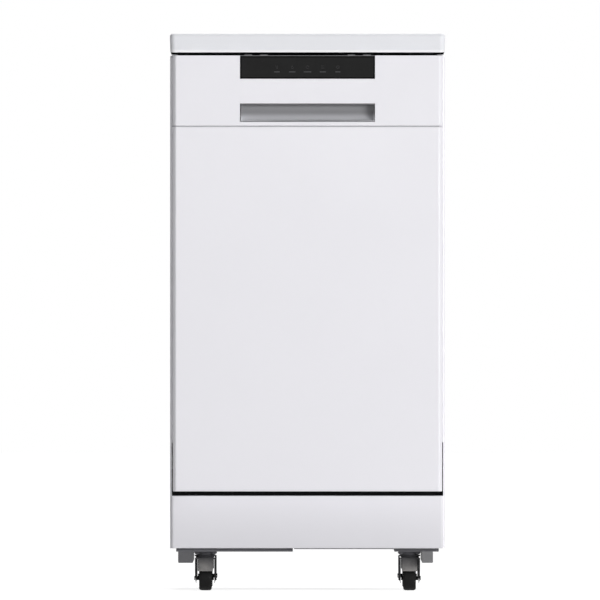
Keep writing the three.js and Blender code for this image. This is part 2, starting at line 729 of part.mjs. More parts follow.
const buttonHole = (x, gap) =>
  [span(x, buttonWidth + 2 * gap), span(fasciaFront + buttonSetback, buttonDepth + 2 * gap)];

function fascia() {
  const outline = (inset) => roundedRectangle([inset - halfDoor, halfDoor - inset],
    [fasciaFront + inset, doorSkinBack + 20 - inset], doorCorner - inset);
  const z = [fasciaBottom, cabinetTop];
  const body = cut(upright(outline(0), z, 4),
    block([-beyond, beyond], [doorSkinBack, beyond], [-beyond, beyond]));
  const hollow = upright(outline(moulding), [z[0] + moulding, z[1] - moulding], 4);
  const behind = block([-linerHalfWidth - 1, linerHalfWidth + 1], [doorSkinBack - 2, doorSkinBack + 90],
    [z[0] + moulding, z[1] - moulding]);
  const windowHole = block(span(0, windowWidth), [fasciaFront - 1, fasciaFront + windowDeck],
    [windowBottom, cabinetTop + 1]);
  const pocketHole = block(span(0, pocketWidth), [fasciaFront - 1, fasciaFront + 10],
    [pocketBottom, pocketBottom + pocketHeight]);
  return cut(body, hollow, behind, windowHole, pocketHole);
}

// The dark strip turns over the top edge of the fascia, where the buttons stand in it.
function displayWindow() {
  const x = span(0, windowWidth - 2 * seat);
  const front = block(x, [fasciaFront, fasciaFront + windowThickness], [windowBottom + seat, cabinetTop]);
  const deck = block(x, [fasciaFront, fasciaFront + windowDeck - seat],
    [cabinetTop - windowThickness, cabinetTop]);
  const holes = buttonCentres.map((centre) => {
    const [holeX, holeY] = buttonHole(centre, seat);
    return block(holeX, holeY, [cabinetTop - 10, cabinetTop + 1]);
  });
  return cut(join(front, deck), holes);
}

function button(centre) {
  const top = cabinetTop + buttonProud;
  const [x, y] = buttonHole(centre, 0);
  const cap = upright(roundedRectangle(x, y, 1.2), [cabinetTop - windowThickness - 3, top], 1);
  const collarTop = cabinetTop - windowThickness - seat;
  const [collarX, collarY] = buttonHole(centre, 1.2);
  return join(cap, block(collarX, collarY, [collarTop - 4, collarTop]));
}

// A moulded cup behind the slot in the fascia: its hollow reaches up behind the top edge.
function handlePocket() {
  const wall = 2;
  const x = span(0, pocketWidth - 2 * seat);
  const z = [pocketBottom + seat, pocketBottom + pocketHeight - seat];
  const y0 = fasciaFront + 0.6;
  const back = fasciaFront + pocketDepth;
  const shoulder = fasciaFront + moulding + seat;
  const top = z[1] + pocketGrip;
  const side = polygon([[y0, z[0]], [back, z[0] + 3], [back, top], [shoulder, top],
    [shoulder, z[1]], [y0, z[1]]]);
  const hollow = new THREE.Shape();
  const lip = shoulder + wall;
  hollow.moveTo(y0 - 1, z[0] + wall);
  hollow.lineTo(y0 + 2, z[0] + wall);
  hollow.quadraticCurveTo(back - wall, z[0] + wall + 2, back - wall, z[0] + pocketSweep);
  hollow.lineTo(back - wall, top - wall);
  hollow.lineTo(lip, top - wall);
  hollow.lineTo(lip, z[1] - wall);
  hollow.lineTo(y0 - 1, z[1] - wall);
  hollow.closePath();
  return cut(sideways(side, x), sideways(hollow, [x[0] + wall, x[1] - wall], 5));
}

function doorLatch() {
  const z = [topFrameBottom - 14, linerTop - linerSheet - seat];
  const y = [doorSkinBack + 4, linerFace - linerSheet - seat];
  const slot = block([-latchSlot.half, latchSlot.half], [y[0] + 2, y[1] + 1], [latchSlot.z0, latchSlot.z1]);
  return cut(block([-30, 30], y, z), slot);
}

// Plate along the door's side, with the pin that turns in the lug of the base.
function hingeArm(side) {
  const x0 = hingeLugOffset + hingeLugThickness + hingeRunningGap;
  const outline = new THREE.Shape();
  const hub = hingePinRadius + 6;
  outline.moveTo(hingeY + hub, hingeHeight);
  outline.lineTo(doorSkinBack - sheet - seat, hingeHeight + 26);
  outline.lineTo(doorSkinBack - sheet - seat, hingeHeight + hingeArmLength);
  outline.lineTo(doorFront + sheet + 6, hingeHeight + hingeArmLength);
  outline.lineTo(doorFront + sheet + 6, hingeHeight + 26);
  outline.lineTo(hingeY - hub, hingeHeight);
  outline.absarc(hingeY, hingeHeight, hub, Math.PI, Math.PI * 1.6, false);
  outline.lineTo(hingeY + 10, hingeHeight - 27);
  outline.lineTo(hingeY + 14, hingeHeight - 20);
  outline.closePath();
  const plate = sideways(outline, [x0, hingeArmOuter], 4);
  const pin = barX(hingePinRadius, [hingeLugOffset - 3, x0 + 1], [hingeY, hingeHeight], 12);
  const arm = join(plate, pin);
  return side < 0 ? arm.mirror([1, 0, 0]) : arm;
}

place("door_panel", doorPanel(), whiteEnamel);
place("door_liner", doorLiner(), stainless);
place("fascia", fascia(), whiteMoulding);
place("display_window", displayWindow(), darkWindow);
place("handle_pocket", handlePocket(), greyMoulding);
buttonCentres.forEach((centre, i) => place(`button_${i + 1}`, button(centre), greyMoulding));
place("door_latch", doorLatch(), blackPlastic);
place("dispenser_body", dispenserBody(), greyPlastic);
place("dispenser_lid", dispenserLid(), whiteMoulding);
place("rinse_aid_cap", rinseAidCap(), blackPlastic);
place("hinge_arm_left", hingeArm(-1), zincSteel);
place("hinge_arm_right", hingeArm(1), zincSteel);

// ---- Wash chamber -------------------------------------------------------------------------

const frontRectangle = (halfWidth, z, radius) => roundedRectangle([-halfWidth, halfWidth], z, radius);
const feedPort = [0, feedPipeY - feedPortSetback];
const heaterOpening = Math.PI / 9;        // angle between the two ends of the ring
const heaterPoint = (angle) => [heaterRadius * Math.sin(angle), heaterY + heaterRadius * Math.cos(angle)];
const heaterLegs = [-1, 1].map((side) => heaterPoint((side * heaterOpening) / 2));

function tub() {
  const wall = linerSheet;
  const inside = [tubFloor, tubCeiling];
  const shellShape = frontRectangle(tubHalfWidth + wall,
    [inside[0] - wall, inside[1] + wall], tubCorner + wall);
  const shell = facing(shellShape, [tubFront - wall, tubBack + wall], 3);
  const hollow = facing(frontRectangle(tubHalfWidth, inside, tubCorner), [tubFront - wall - 1, tubBack], 3);
  const flangeShape = frontRectangle(tubHalfWidth + tubFlange,
    [lugTop + seat, inside[1] + tubTopFlange], tubCorner);
  const flange = facing(flangeShape, [tubFront - wall, tubFront], 3);
  const ledges = [-1, 1].map((side) => {
    const under = ledgeHeight - ledgeThickness;
    const profile = polygon([[tubHalfWidth + 0.5, ledgeHeight], [tubHalfWidth - ledgeDepth, ledgeHeight],
      [tubHalfWidth - ledgeDepth, under], [tubHalfWidth + 0.5, under - ledgeDepth]]);
    const ledge = facing(profile, [tubFront - wall, tubBack]);
    return side < 0 ? ledge.mirror([1, 0, 0]) : ledge;
  });
  const holes = [
    disc(sumpRadius + seat, [tubFloor - 10, tubFloor + 4], [0, sumpY], sumpFacets),
    disc(feedPipeRadius + 1, [tubFloor - 10, tubFloor + 4], feedPort, 12),
    disc(floatStem + 2 * seat, [tubFloor - 10, tubFloor + 4], floatPlace, 12),
    ...heaterLegs.map((leg) => disc(heaterRod + 1.4, [tubFloor - 10, tubFloor + 4], leg, 8)),
  ];
  return cut(join(shell, flange).subtract(hollow).add(join(ledges)), holes);
}

const floatPlace = [floatSideGap - tubHalfWidth, tubFront + floatFrontGap];

// Rubber profile round the mouth of the tub, open along the bottom as on such machines.
function doorSeal() {
  const x = tubHalfWidth + 2;
  const outer = frontRectangle(x + sealWidth,
    [ledgeHeight + 8, tubCeiling + 2 + sealWidth], tubCorner + sealWidth);
  const inner = frontRectangle(x, [0, tubCeiling + 2], tubCorner);
  const y = [linerFace + seat, tubFront - linerSheet - seat];
  const body = cut(facing(outer, y, 3), facing(inner, [y[0] - 1, y[1] + 1], 3));
  const rib = 2;
  const groove = cut(
    facing(frontRectangle(x + sealWidth - rib, [0, tubCeiling + sealWidth], tubCorner + sealWidth - rib),
      [y[0] - 1, y[0] + 1.6], 3),
    facing(frontRectangle(x + rib, [-1, tubCeiling + 2 + rib], tubCorner + rib), [y[0] - 2, y[0] + 3], 3));
  const foot = block([-beyond, beyond], [y[0] - 5, y[1] + 5], [-beyond, ledgeHeight + 34]);
  return cut(body, foot, groove);
}

const sumpBottom = tubFloor - sumpDepth;
const plateLevel = tubFloor + seat + 2.6 + seat;
const wellRadius = filterCupRadius + 4;
const wellBottom = plateLevel - filterCupDepth - 8;
const postTop = lowerArmHeight + armThickness - 3;

function sump() {
  const centre = [0, sumpY];
  const bowl = disc(sumpRadius, [sumpBottom, tubFloor + 1], centre, sumpFacets);
  const flange = disc(sumpRadius + sumpFlange, [tubFloor + seat, tubFloor + seat + 2.6], centre, sumpFacets);
  const well = disc(wellRadius + moulding, [wellBottom - moulding, tubFloor], [0, filterCupY], 14);
  const inside = disc(sumpRadius - moulding, [sumpBottom + moulding, tubFloor + 10], centre, sumpFacets);
  const wellInside = disc(wellRadius, [wellBottom, tubFloor + 10], [0, filterCupY], 14);
  const post = disc(armPostRadius, [sumpBottom, postTop - 4], [0, 0], 16);
  const spigot = disc(armPostRadius - 4, [sumpBottom, postTop], [0, 0], 12);
  return join(cut(join(bowl, flange, well), inside, wellInside), post, spigot);
}

function filterPlate() {
  const z = [plateLevel, plateLevel + 1.4];
  const plate = disc(sumpRadius + 2, z, [0, sumpY], sumpFacets);
  const postHole = disc(armPostRadius + 0.6, [-beyond, beyond], [0, 0], 16);
  const cupHole = disc(filterCupRadius + 1.2, [-beyond, beyond], [0, filterCupY], 14);
  return cut(plate, postHole, cupHole);
}

// Cup with a rim that rests on the plate, a lifting bar, and tall windows for its mesh.
function filterCup() {
  const top = plateLevel + 1.4 + seat;
  const bottom = plateLevel - filterCupDepth;
  const centre = [0, filterCupY];
  const wall = 1.6;
  const [radius, foot] = [filterCupRadius, filterCupRadius - 6];
  const cup = turned([[0, bottom], [foot, bottom], [radius, top], [radius + 4, top], [radius + 4, top + 1.8],
    [radius - wall, top + 1.8], [foot - wall, bottom + wall], [0, bottom + wall]], centre, 14);
  const windows = [0, 90].map((degrees) => {
    const slot = block([-2 * radius, 2 * radius], [-9, 9], [bottom + 8, top - 10]);
    return slot.rotate([0, 0, degrees]).translate([centre[0], centre[1], 0]);
  });
  const core = disc(7, [bottom, top - 14], centre, 8);
  const bar = block(span(0, 2 * filterCupRadius - 2), span(filterCupY, 5), [top - 4, top + 1.8]);
  const stem = block(span(0, 8), span(filterCupY, 5), [top - 16, top + 1.8]);
  return join(cut(cup, windows), core, bar, stem);
}

// A rod bent round the sump, with both ends turned down through the floor.
function heater() {
  const z = tubFloor + heaterRod + 1;
  const [first, last] = [heaterOpening / 2, 2 * Math.PI - heaterOpening / 2];
  const ring = spread(first, last, 18).map((angle) => [...heaterPoint(angle), z]);
  const foot = tubFloor - 26;
  const [right, left] = heaterLegs.slice().reverse();
  return wire([[...right, foot], ...ring, [...left, foot]], 2 * heaterRod, 5);
}

function floatDome() {
  const under = tubFloor + seat;
  return turned([[0, tubFloor - 12], [floatStem, tubFloor - 12], [floatStem, under], [12, under],
    [13, under + 13], [10, under + 19], [0, under + 21]], floatPlace, 12);
}

// Two tapering arms with a swept outline, a hub and nozzle bosses.
function sprayArm(reach, z, hubBore, bend) {
  const half = new THREE.Shape();
  half.moveTo(-15, 0);
  half.quadraticCurveTo(-15 - bend, reach * 0.55, -9 + bend * 0.4, reach - 8);
  half.quadraticCurveTo(-6 + bend * 0.4, reach, 2 + bend * 0.4, reach);
  half.quadraticCurveTo(10 + bend * 0.4, reach, 10 + bend * 0.3, reach - 9);
  half.quadraticCurveTo(15 - bend * 0.4, reach * 0.5, 15, 0);
  half.closePath();
  const wing = upright(half, [z + 1, z + armThickness - 1], 2);
  const hub = disc(armHubRadius, [z - 1, z + armThickness], [0, 0], 14);
  const nozzles = [0.45, 0.8].map((share) =>
    disc(3.4, [z + 6, z + armThickness + 1.6], [-bend * 0.2, reach * share], 5));
  const side = join(wing, nozzles);
  const bore = disc(hubBore, [z - 5, z + armThickness + 5], [0, 0], 10);
  return cut(join(side, side.rotate([0, 0, 180]), hub), bore);
}

const lowerHubBore = armPostRadius - 4 + 0.8;

// Arm seated on the shoulder of its post, with the cap of the hub over the spigot.
function lowerSprayArm() {
  const arm = sprayArm(lowerArmReach, lowerArmHeight, lowerHubBore, 9);
  const cap = disc(armHubRadius - 4, [postTop + seat, lowerArmHeight + armThickness + 3], [0, 0], 12);
  const clear = disc(armPostRadius + 0.8, [0, postTop - 4 + seat], [0, 0], 12);
  return join(cut(arm, clear), cap);
}

// ---- Racks --------------------------------------------------------------------------------

const wireGap = wireWidth - weldBite;

// The welded wires of a rack: bows side to side, bows front to back, and loops round them.
function rackWires({ front, back, half, floor, rim, rise, slope, bows, runs, loops, bend }) {
  const parts = [];
  const round = (a, b, c) => {
    const mix = (from, to, share) => from.map((value, i) => value + (to[i] - value) * share);
    const near = (from, to) => {
      const length = Math.hypot(...from.map((value, i) => to[i] - value));
      return mix(to, from, Math.min(0.5, bend / length));
    };
    return [near(a, b), near(c, b)];
  };
  const bent = (points) => {
    const path = [points[0]];
    for (let i = 1; i < points.length - 1; i++) path.push(...round(points[i - 1], points[i], points[i + 1]));
    path.push(points[points.length - 1]);
    return path;
  };
  const floorAt = (y) => floor + Math.max(0, 1 - (y - front) / slope) * rise;
  const top = rim;
  for (const y of bows) {
    const z = floorAt(y);
    parts.push(wire(bent([[-half, y, top], [-half, y, z], [half, y, z], [half, y, top]]), wireWidth));
  }
  const lower = wireGap;
  for (const x of runs) {
    const points = [[x, front, top], [x, front, floor + rise - lower], [x, front + slope, floor - lower],
      [x, back, floor - lower], [x, back, top]];
    const path = rise > 0 ? points : points.filter((_, i) => i !== 2);
    parts.push(wire(bent(path), wireWidth));
  }
  for (const { z, width } of loops) {
    const out = (width + wireWidth) / 2 - weldBite;
    const inner = { x: half + out, y0: front - out, y1: back + out };
    const loop = [];
    const corners = [[inner.x, inner.y1, 0], [-inner.x, inner.y1, 90], [-inner.x, inner.y0, 180],
      [inner.x, inner.y0, 270]];
    for (const [x, y, start] of corners) {
      const cx = x - Math.sign(x) * loopCorner;
      const cy = y === inner.y1 ? y - loopCorner : y + loopCorner;
      for (const step of [0, 90]) {
        const angle = ((start + step) * Math.PI) / 180;
        loop.push([cx + loopCorner * Math.cos(angle), cy + loopCorner * Math.sin(angle), z]);
      }
    }
    parts.push(wire(loop, width, wireSides, true));
  }
  return parts;
}

const spread = (from, to, count) =>
  Array.from({ length: count }, (_, i) => from + ((to - from) * i) / (count - 1));

function tines(x, ys, z, height, lean) {
  return ys.map((y) => wire([[x, y, z], [x, y + lean, z + height]], tineWidth, 3));
}

function rackWheel(side, y, z, radius, [inner, outer]) {
  const limits = side < 0 ? [-outer, -inner] : [inner, outer];
  const stub = side < 0 ? [-inner - 1, -rackHalfWidth] : [rackHalfWidth, inner + 1];
  return [barX(radius, limits, [y, z], 10), barX(3.5, stub, [y, z], 4)];
}

function lowerRack() {
  const bows = spread(lowerRackFront + 18, rackBack - 16, 6);
  const runs = spread(bowInset - rackHalfWidth, rackHalfWidth - bowInset, 5);
  const parts = rackWires({
    front: lowerRackFront, back: rackBack, half: rackHalfWidth, floor: lowerRackFloor, rim: lowerRackRim,
    rise: lowerRackRise, slope: lowerRackSlope, bows, runs, bend: 10,
    loops: [{ z: lowerRackRim, width: rimWireWidth },
      { z: lowerRackFloor + lowerLoopHeight, width: wireWidth }],
  });
  const { front, back, height, lean } = lowerTines;
  const tineYs = spread(lowerRackFront + front, rackBack - back, 6);
  const rows = [runs[0], runs[1], runs[2]];
  rows.forEach((x) => parts.push(...tines(x, tineYs, lowerRackFloor - wireGap, height, lean)));
  const axle = ledgeHeight + seat + rackWheelRadius;
  const wheelInner = tubHalfWidth - ledgeDepth + rackWheelGap;
  const wheelX = [wheelInner, wheelInner + rackWheelWidth];
  for (const side of [-1, 1]) {
    for (const y of [bows[1], bows[4]]) {
      parts.push(...rackWheel(side, y, axle, rackWheelRadius, wheelX));
      parts.push(block(span(side * rackHalfWidth, 6), span(y, 26), [axle - 6, lowerRackFloor + 50]));
    }
  }
  return join(parts);
}

const railInner = tubHalfWidth - linerSheet - railWallGap - railDepth;
const upperRollerBack = rackBack - rollerRearGap;
const upperRollerFront = upperRollerBack - rollerSpacing;

function upperRack() {
  const bows = spread(upperRackFront + 16, rackBack - 16, 6);
  const runs = spread(bowInset - rackHalfWidth, rackHalfWidth - bowInset, 5);
  const parts = rackWires({
    front: upperRackFront, back: rackBack, half: rackHalfWidth - upperRackInset, floor: upperRackFloor,
    rim: upperRackRim, rise: 0, slope: 1, bows, runs, bend: 10,
    loops: [{ z: upperRackRim, width: rimWireWidth },
      { z: upperRackFloor + upperLoopHeight, width: wireWidth }],
  });
  const { front, back, height } = upperTines;
  const tineYs = spread(upperRackFront + front, rackBack - back, 5);
  const rows = [runs[0], runs[4]];
  rows.forEach((x) => parts.push(...tines(x, tineYs, upperRackFloor - wireGap, height, 0)));
  for (const side of [-1, 1]) {
    for (const y of [upperRollerFront, upperRollerBack]) {
      const roller = [railInner + 1.8, railInner + railDepth - 2];
      const limits = side < 0 ? [-roller[1], -roller[0]] : roller;
      parts.push(barX(railHeight / 2 - 2, limits, [y, railCentre], 8));
      const stub = side < 0 ? [-roller[0] - 1, -rackHalfWidth + 2] : [rackHalfWidth - 2, roller[0] + 1];
      parts.push(barX(2.6, stub, [y, railCentre], 4));
      const plate = [rackHalfWidth - 7, rackHalfWidth - 0.6];
      const plateX = side < 0 ? [-plate[1], -plate[0]] : plate;
      parts.push(block(plateX, span(y, 30), [railCentre - 24, railCentre + 24]));
    }
  }
  return join(parts);
}

// C-shaped slide: the rack's rollers run inside it, and it runs between the bracket's rollers.
function rail(side) {
  const y = [upperRackFront + railSetback, tubBack - railRearGap];
  const z = span(railCentre, railHeight);
  const body = cut(block([railInner, railInner + railDepth], y, z),
    block([railInner - 1, railInner + railDepth - linerSheet], [y[0] + 2, y[1] - 2],
      [z[0] + linerSheet, z[1] - linerSheet]));
  return side < 0 ? body.mirror([1, 0, 0]) : body;
}

function railBracket(side) {
  const wallX = tubHalfWidth - seat;
  const x0 = railInner + railDepth + 2 * seat;
  const front = tubFront + bracketFrontGap;
  const parts = [block([x0, wallX], [front, front + bracketLength], span(railCentre, railHeight + 40))];
  const radius = 7;
  for (const y of bracketRollers.map((setback) => front + setback)) {
    for (const way of [-1, 1]) {
      const z = railCentre + way * (railHeight / 2 + radius + seat);
      parts.push(barX(radius, [railInner, x0 + 0.5], [y, z], 8));
    }
  }
  const body = join(parts);
  return side < 0 ? body.mirror([1, 0, 0]) : body;
}

const rackUnderside = upperRackFloor - wireGap - wireWidth / 2;
const feedCentre = rackUnderside - seat - feedPipeRadius - 1;
const upperArmTop = feedCentre - feedRadius - 3;

// Water pipe under the upper rack, from the docking cone at the back to the hub of the arm.
function upperArmFeed() {
  const pipe = barY(feedRadius, [-26, feedPipeY - feedPipeRadius - dockingGap], [0, feedCentre], 12);
  const hub = disc(12, [upperArmTop, feedCentre], [0, 0], 16);
  const spigot = disc(6, [upperArmTop - armThickness + 2, feedCentre], [0, 0], 12);
  const flange = disc(11, [upperArmTop - armThickness - 5, upperArmTop - armThickness - 2.6], [0, 0], 16);
  const stem = disc(6, [upperArmTop - armThickness - 5, upperArmTop], [0, 0], 12);
  const clip = block(span(0, 10), [52, 66], [feedCentre, rackUnderside - seat]);
  return join(pipe, hub, spigot, stem, flange, clip);
}

function upperSprayArm() {
  return sprayArm(upperArmReach, upperArmTop - seat - armThickness - 0.7, 6.8, -8);
}

function feedPipe() {
  const [x, y] = feedPort;
  const dock = feedPipeY - feedPipeRadius - dockingGap;
  const pipe = wire([[x, y, tubFloor - 24], [x, y, tubFloor + 22], [x, feedPipeY, tubFloor + 44],
    [x, feedPipeY, feedCentre - 18], [x, feedPipeY - 6, feedCentre - 5], [x, feedPipeY - 18, feedCentre],
    [x, dock + seat, feedCentre]], 2 * feedPipeRadius, 10);
  const clip = block([-16, 16], [feedPipeY, tubBack - seat], span(420, 24));
  return join(pipe, clip);
}

// Moulded cutlery basket: five cells, slotted walls, and a carrying bow along its middle.
function cutleryBasket() {
  const outer = rackHalfWidth - basketSideGap;
  const bottom = lowerRackFloor + wireWidth / 2 + seat;
  const x = [outer - basketWidth, outer];
  const y = span(0, basketLength);
  const z = [bottom, bottom + basketHeight];
  const tray = cut(block(x, y, z), block([x[0] + basketWall, x[1] - basketWall],
    [y[0] + basketWall, y[1] - basketWall], [z[0] + basketWall, z[1] + 1]));
  const slots = [];
  const height = [z[0] + 12, z[1] - 16];
  const slotWidth = 18;
  for (const at of spread(y[0] + 22, y[1] - 22, 6)) {
    slots.push(block([x[0] - 5, x[1] + 5], span(at, slotWidth), height));
  }
  for (const at of spread(x[0] + 19, x[1] - 19, 2)) {
    slots.push(block(span(at, slotWidth), [y[0] - 5, y[1] + 5], height));
  }
  const walls = spread(y[0], y[1], 6).slice(1, -1).map((at) =>
    block([x[0] + 1, x[1] - 1], span(at, 1.8), [z[0] + 1, z[1] - 20]));
  const middle = (x[0] + x[1]) / 2;
  const bow = wire([[middle, y[0] + 1, z[1] - 8], [middle, y[0] + 20, z[1] + 20],
    [middle, y[1] - 20, z[1] + 20], [middle, y[1] - 1, z[1] - 8]], 6, 5);
  return join(cut(tray, slots), walls, bow);
}

// ---- Machinery under the tub --------------------------------------------------------------

const washUnit = { y: 60, height: 122, volute: 38, voluteWidth: 30, motor: 31, motorLength: 84.5, inlet: 14 };
const drainUnit = { height: 108, body: 24, bodyEnd: 84, motor: 19, motorLength: 44 };
const balanceSpring = { radius: 8, rod: 1.7, coilLength: 120, setback: 86, hook: 14, tail: 46, height: 132 };

function washPump() {
  const { y, height: z } = washUnit;
  const x = [-52, washUnit.voluteWidth - 52];
  const volute = barX(washUnit.volute, x, [y, z], 16);
  const motor = barX(washUnit.motor, [x[1] - 0.5, x[1] - 0.5 + washUnit.motorLength], [y, z], 12);
  const inlet = barY(washUnit.inlet, [sumpY + sumpRadius - 36, y], [(x[0] + x[1]) / 2, z], 12);
  const foot = block([-40, 50], span(y, 48), [baseBottom + trayWall + seat, z - 20]);
  const sumpSpace = disc(sumpRadius + seat, [-beyond, beyond], [0, sumpY], sumpFacets);
  return join(volute, motor, inlet, foot).subtract(sumpSpace);
}

function drainPump() {
  const { height: z, bodyEnd } = drainUnit;
  const motorX = [bodyEnd - 4, bodyEnd - 4 + drainUnit.motorLength];
  const body = barX(drainUnit.body, [wellRadius + moulding + seat + 3, bodyEnd], [filterCupY, z], 12);
  const motor = barX(drainUnit.motor, motorX, [filterCupY, z], 10);
  const foot = block([50, motorX[1] - 6], span(filterCupY, 26), [baseBottom + trayWall + seat, z - 12]);
  return join(body, motor, foot);
}

const inletEnd = cabinetBack + 16;
const outletEnd = cabinetBack + 15;

// Threaded inlet and plain outlet stub in the back of the base.
function waterInlet() {
  const stub = barY(connectionHole, [trayBack - 14, inletEnd], [inletX, connectionHeight], 12);
  const bore = barY(9.5, [trayBack - 6, inletEnd + 5], [inletX, connectionHeight], 12);
  const collar = barY(19, [trayBack - 12, trayBack - trayWall - seat], [inletX, connectionHeight], 12);
  const valve = block(span(inletX, 44), [trayBack - 66, trayBack - 11], span(connectionHeight, 40));
  return cut(join(stub, collar, valve), bore);
}

function drainOutlet() {
  const stub = barY(11, [trayBack - 14, outletEnd], [drainX, connectionHeight], 12);
  const bead = barY(connectionHole, [trayBack - 13, trayBack + 4], [drainX, connectionHeight], 12);
  const bore = barY(8, [trayBack - 6, inletEnd + 5], [drainX, connectionHeight], 12);
  const elbow = barY(16, [trayBack - 40, trayBack - trayWall - seat], [drainX, connectionHeight], 12);
  return cut(join(stub, bead, elbow), bore);
}

// Extension spring that balances the door, with straight ends to its two anchors.
function doorSpring(side) {
  const turns = 5;
  const steps = 5;
  const { radius, rod, coilLength, hook, height: z } = balanceSpring;
  const x = side * (trayHalf - trayWall - 12);
  const y0 = trayFront + balanceSpring.setback;
  const y1 = y0 + coilLength;
  const points = [[x, trayFront + trayWall + seat, z], [x, y0 - hook, z]];
  for (let i = 0; i <= turns * steps; i++) {
    const angle = (2 * Math.PI * i) / steps;
    const y = y0 + (coilLength * i) / (turns * steps);
    points.push([x + radius * Math.cos(angle), y, z + radius * Math.sin(angle)]);
  }
  points.push([x, y1 + hook, z], [x, y1 + hook + balanceSpring.tail, z]);
  return wire(points, 2 * rod, 3);
}

place("tub", tub(), stainless);
place("door_seal", doorSeal(), blackRubber);
place("sump", sump(), greyPlastic);
place("filter_plate", filterPlate(), stainless);
place("filter_cup", filterCup(), greyPlastic);
place("heater", heater(), zincSteel);
place("float_dome", floatDome(), greyPlastic);
place("lower_spray_arm", lowerSprayArm(), greyPlastic);
place("upper_spray_arm", upperSprayArm(), greyPlastic);
place("upper_arm_feed", upperArmFeed(), greyPlastic);
place("feed_pipe", feedPipe(), greyPlastic);
place("lower_rack", lowerRack(), coatedWire);
place("upper_rack", upperRack(), coatedWire);
place("cutlery_basket", cutleryBasket(), greyPlastic);
place("rail_left", rail(-1), stainless);
place("rail_right", rail(1), stainless);
place("rail_bracket_left", railBracket(-1), blackPlastic);
place("rail_bracket_right", railBracket(1), blackPlastic);
place("wash_pump", washPump(), blackPlastic);
place("drain_pump", drainPump(), blackPlastic);
place("water_inlet", waterInlet(), blackPlastic);
place("drain_outlet", drainOutlet(), greyPlastic);
place("door_spring_left", doorSpring(-1), zincSteel);
place("door_spring_right", doorSpring(1), zincSteel);

export default dishwasher;
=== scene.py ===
# %% [markdown]
# # A narrow dishwasher on casters
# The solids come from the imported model, so every size and place is settled already. This file gives
# each piece its look. All lengths are written in millimetres and turned into metres by one factor.

import json
import math

import bmesh
import bpy
from mathutils import Matrix, Vector


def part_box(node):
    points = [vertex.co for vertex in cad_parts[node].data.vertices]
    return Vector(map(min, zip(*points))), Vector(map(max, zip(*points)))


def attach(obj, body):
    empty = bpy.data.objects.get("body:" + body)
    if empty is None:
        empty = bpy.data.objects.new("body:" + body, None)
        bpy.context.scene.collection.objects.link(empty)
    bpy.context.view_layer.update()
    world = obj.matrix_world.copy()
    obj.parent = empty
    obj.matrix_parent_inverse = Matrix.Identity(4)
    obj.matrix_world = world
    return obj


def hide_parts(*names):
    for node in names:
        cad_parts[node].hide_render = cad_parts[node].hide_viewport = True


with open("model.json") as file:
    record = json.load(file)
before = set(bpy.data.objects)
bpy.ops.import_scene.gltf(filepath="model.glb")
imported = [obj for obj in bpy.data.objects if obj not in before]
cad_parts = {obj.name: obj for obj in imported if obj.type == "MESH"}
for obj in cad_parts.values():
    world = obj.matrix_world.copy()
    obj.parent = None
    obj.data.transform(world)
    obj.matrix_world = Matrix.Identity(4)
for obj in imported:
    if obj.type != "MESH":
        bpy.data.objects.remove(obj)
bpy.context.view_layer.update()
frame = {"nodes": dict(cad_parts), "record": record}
scene = bpy.context.scene
scene.view_settings.view_transform = "Standard"
MM = 0.001

# %% [markdown]
# ## Modelling tools
# Most of this machine is folded sheet and moulded boxes. Both start as a cube that is stretched
# between limits, has some faces taken away, and gets its edges rounded by the bevel operator. Rounding
# with a true bevel matters more than anything else here: white enamel shows its form only along edges.

# %% Boxes, edges and bevels
NEAR = 0.01             # millimetres within which two places count as the same


def unit(axis):
    """The direction of one axis, with a length of 1."""
    return Vector([float(i == axis) for i in range(3)])


def box(bm, x, y, z):
    """Adds a box between limits in millimetres and returns its vertices."""
    centre = Vector((sum(x), sum(y), sum(z))) / 2 * MM
    size = Vector((x[1] - x[0], y[1] - y[0], z[1] - z[0])) * MM
    place = Matrix.Translation(centre) @ Matrix.Diagonal((*size, 1))
    return bmesh.ops.create_cube(bm, size=1, matrix=place)["verts"]


def edges_of(verts, test):
    """Edges between the given vertices whose two ends, in millimetres, pass the test."""
    inside = set(verts)
    edges = {e for v in verts for e in v.link_edges if e.other_vert(v) in inside}
    return [e for e in edges if test(e.verts[0].co / MM, e.verts[1].co / MM)]


def along(axis):
    """A test for edges that run along one axis."""
    others = [i for i in range(3) if i != axis]
    return lambda a, b: all(abs(a[i] - b[i]) < NEAR for i in others)


def rims_across(bm, axis):
    """Edges between a face that looks along an axis and one that doesn't."""
    def looks(face):
        return abs(face.normal[axis]) > 0.9
    return [e for e in bm.edges if len(e.link_faces) == 2 and len({looks(f) for f in e.link_faces}) == 2]


def bevel(bm, edges, radius, segments=3):
    """Rounds edges by a radius in millimetres."""
    return bmesh.ops.bevel(bm, geom=edges, offset=radius * MM, offset_type="OFFSET", segments=segments,
                           profile=0.5, affect="EDGES", material=-1, clamp_overlap=True)


def rounded_box(bm, x, y, z, corner=0, axis=2, corner_steps=5, rim=0, rim_steps=3):
    """A box with its edges along one axis rounded first, and then the rims at both ends."""
    verts = box(bm, x, y, z)
    if corner:
        made = bevel(bm, edges_of(verts, along(axis)), corner, corner_steps)
        verts = list({v for f in made["faces"] for v in f.verts} | {v for v in verts if v.is_valid})
    if rim:
        ends = (x, y, z)[axis]
        bevel(bm, edges_of(verts, lambda a, b: abs(a[axis] - b[axis]) < NEAR
                           and min(abs(a[axis] - end) for end in ends) < NEAR), rim, rim_steps)
    return verts


print("boxes and bevels ready")

# %% [markdown]
# An opening in a sheet could be cut by a boolean, but that leaves ragged strips of faces. Here planes
# cut only the faces that reach the opening, along its limits, and what lies inside is taken away.

# %% Openings
def reaches(face, limits):
    """Whether a face has a part inside a box, apart from a touch at its border."""
    places = [v.co / MM for v in face.verts]
    return all(max(p[i] for p in places) > limits[i][0] + 1e-4
               and min(p[i] for p in places) < limits[i][1] - 1e-4 for i in range(3))


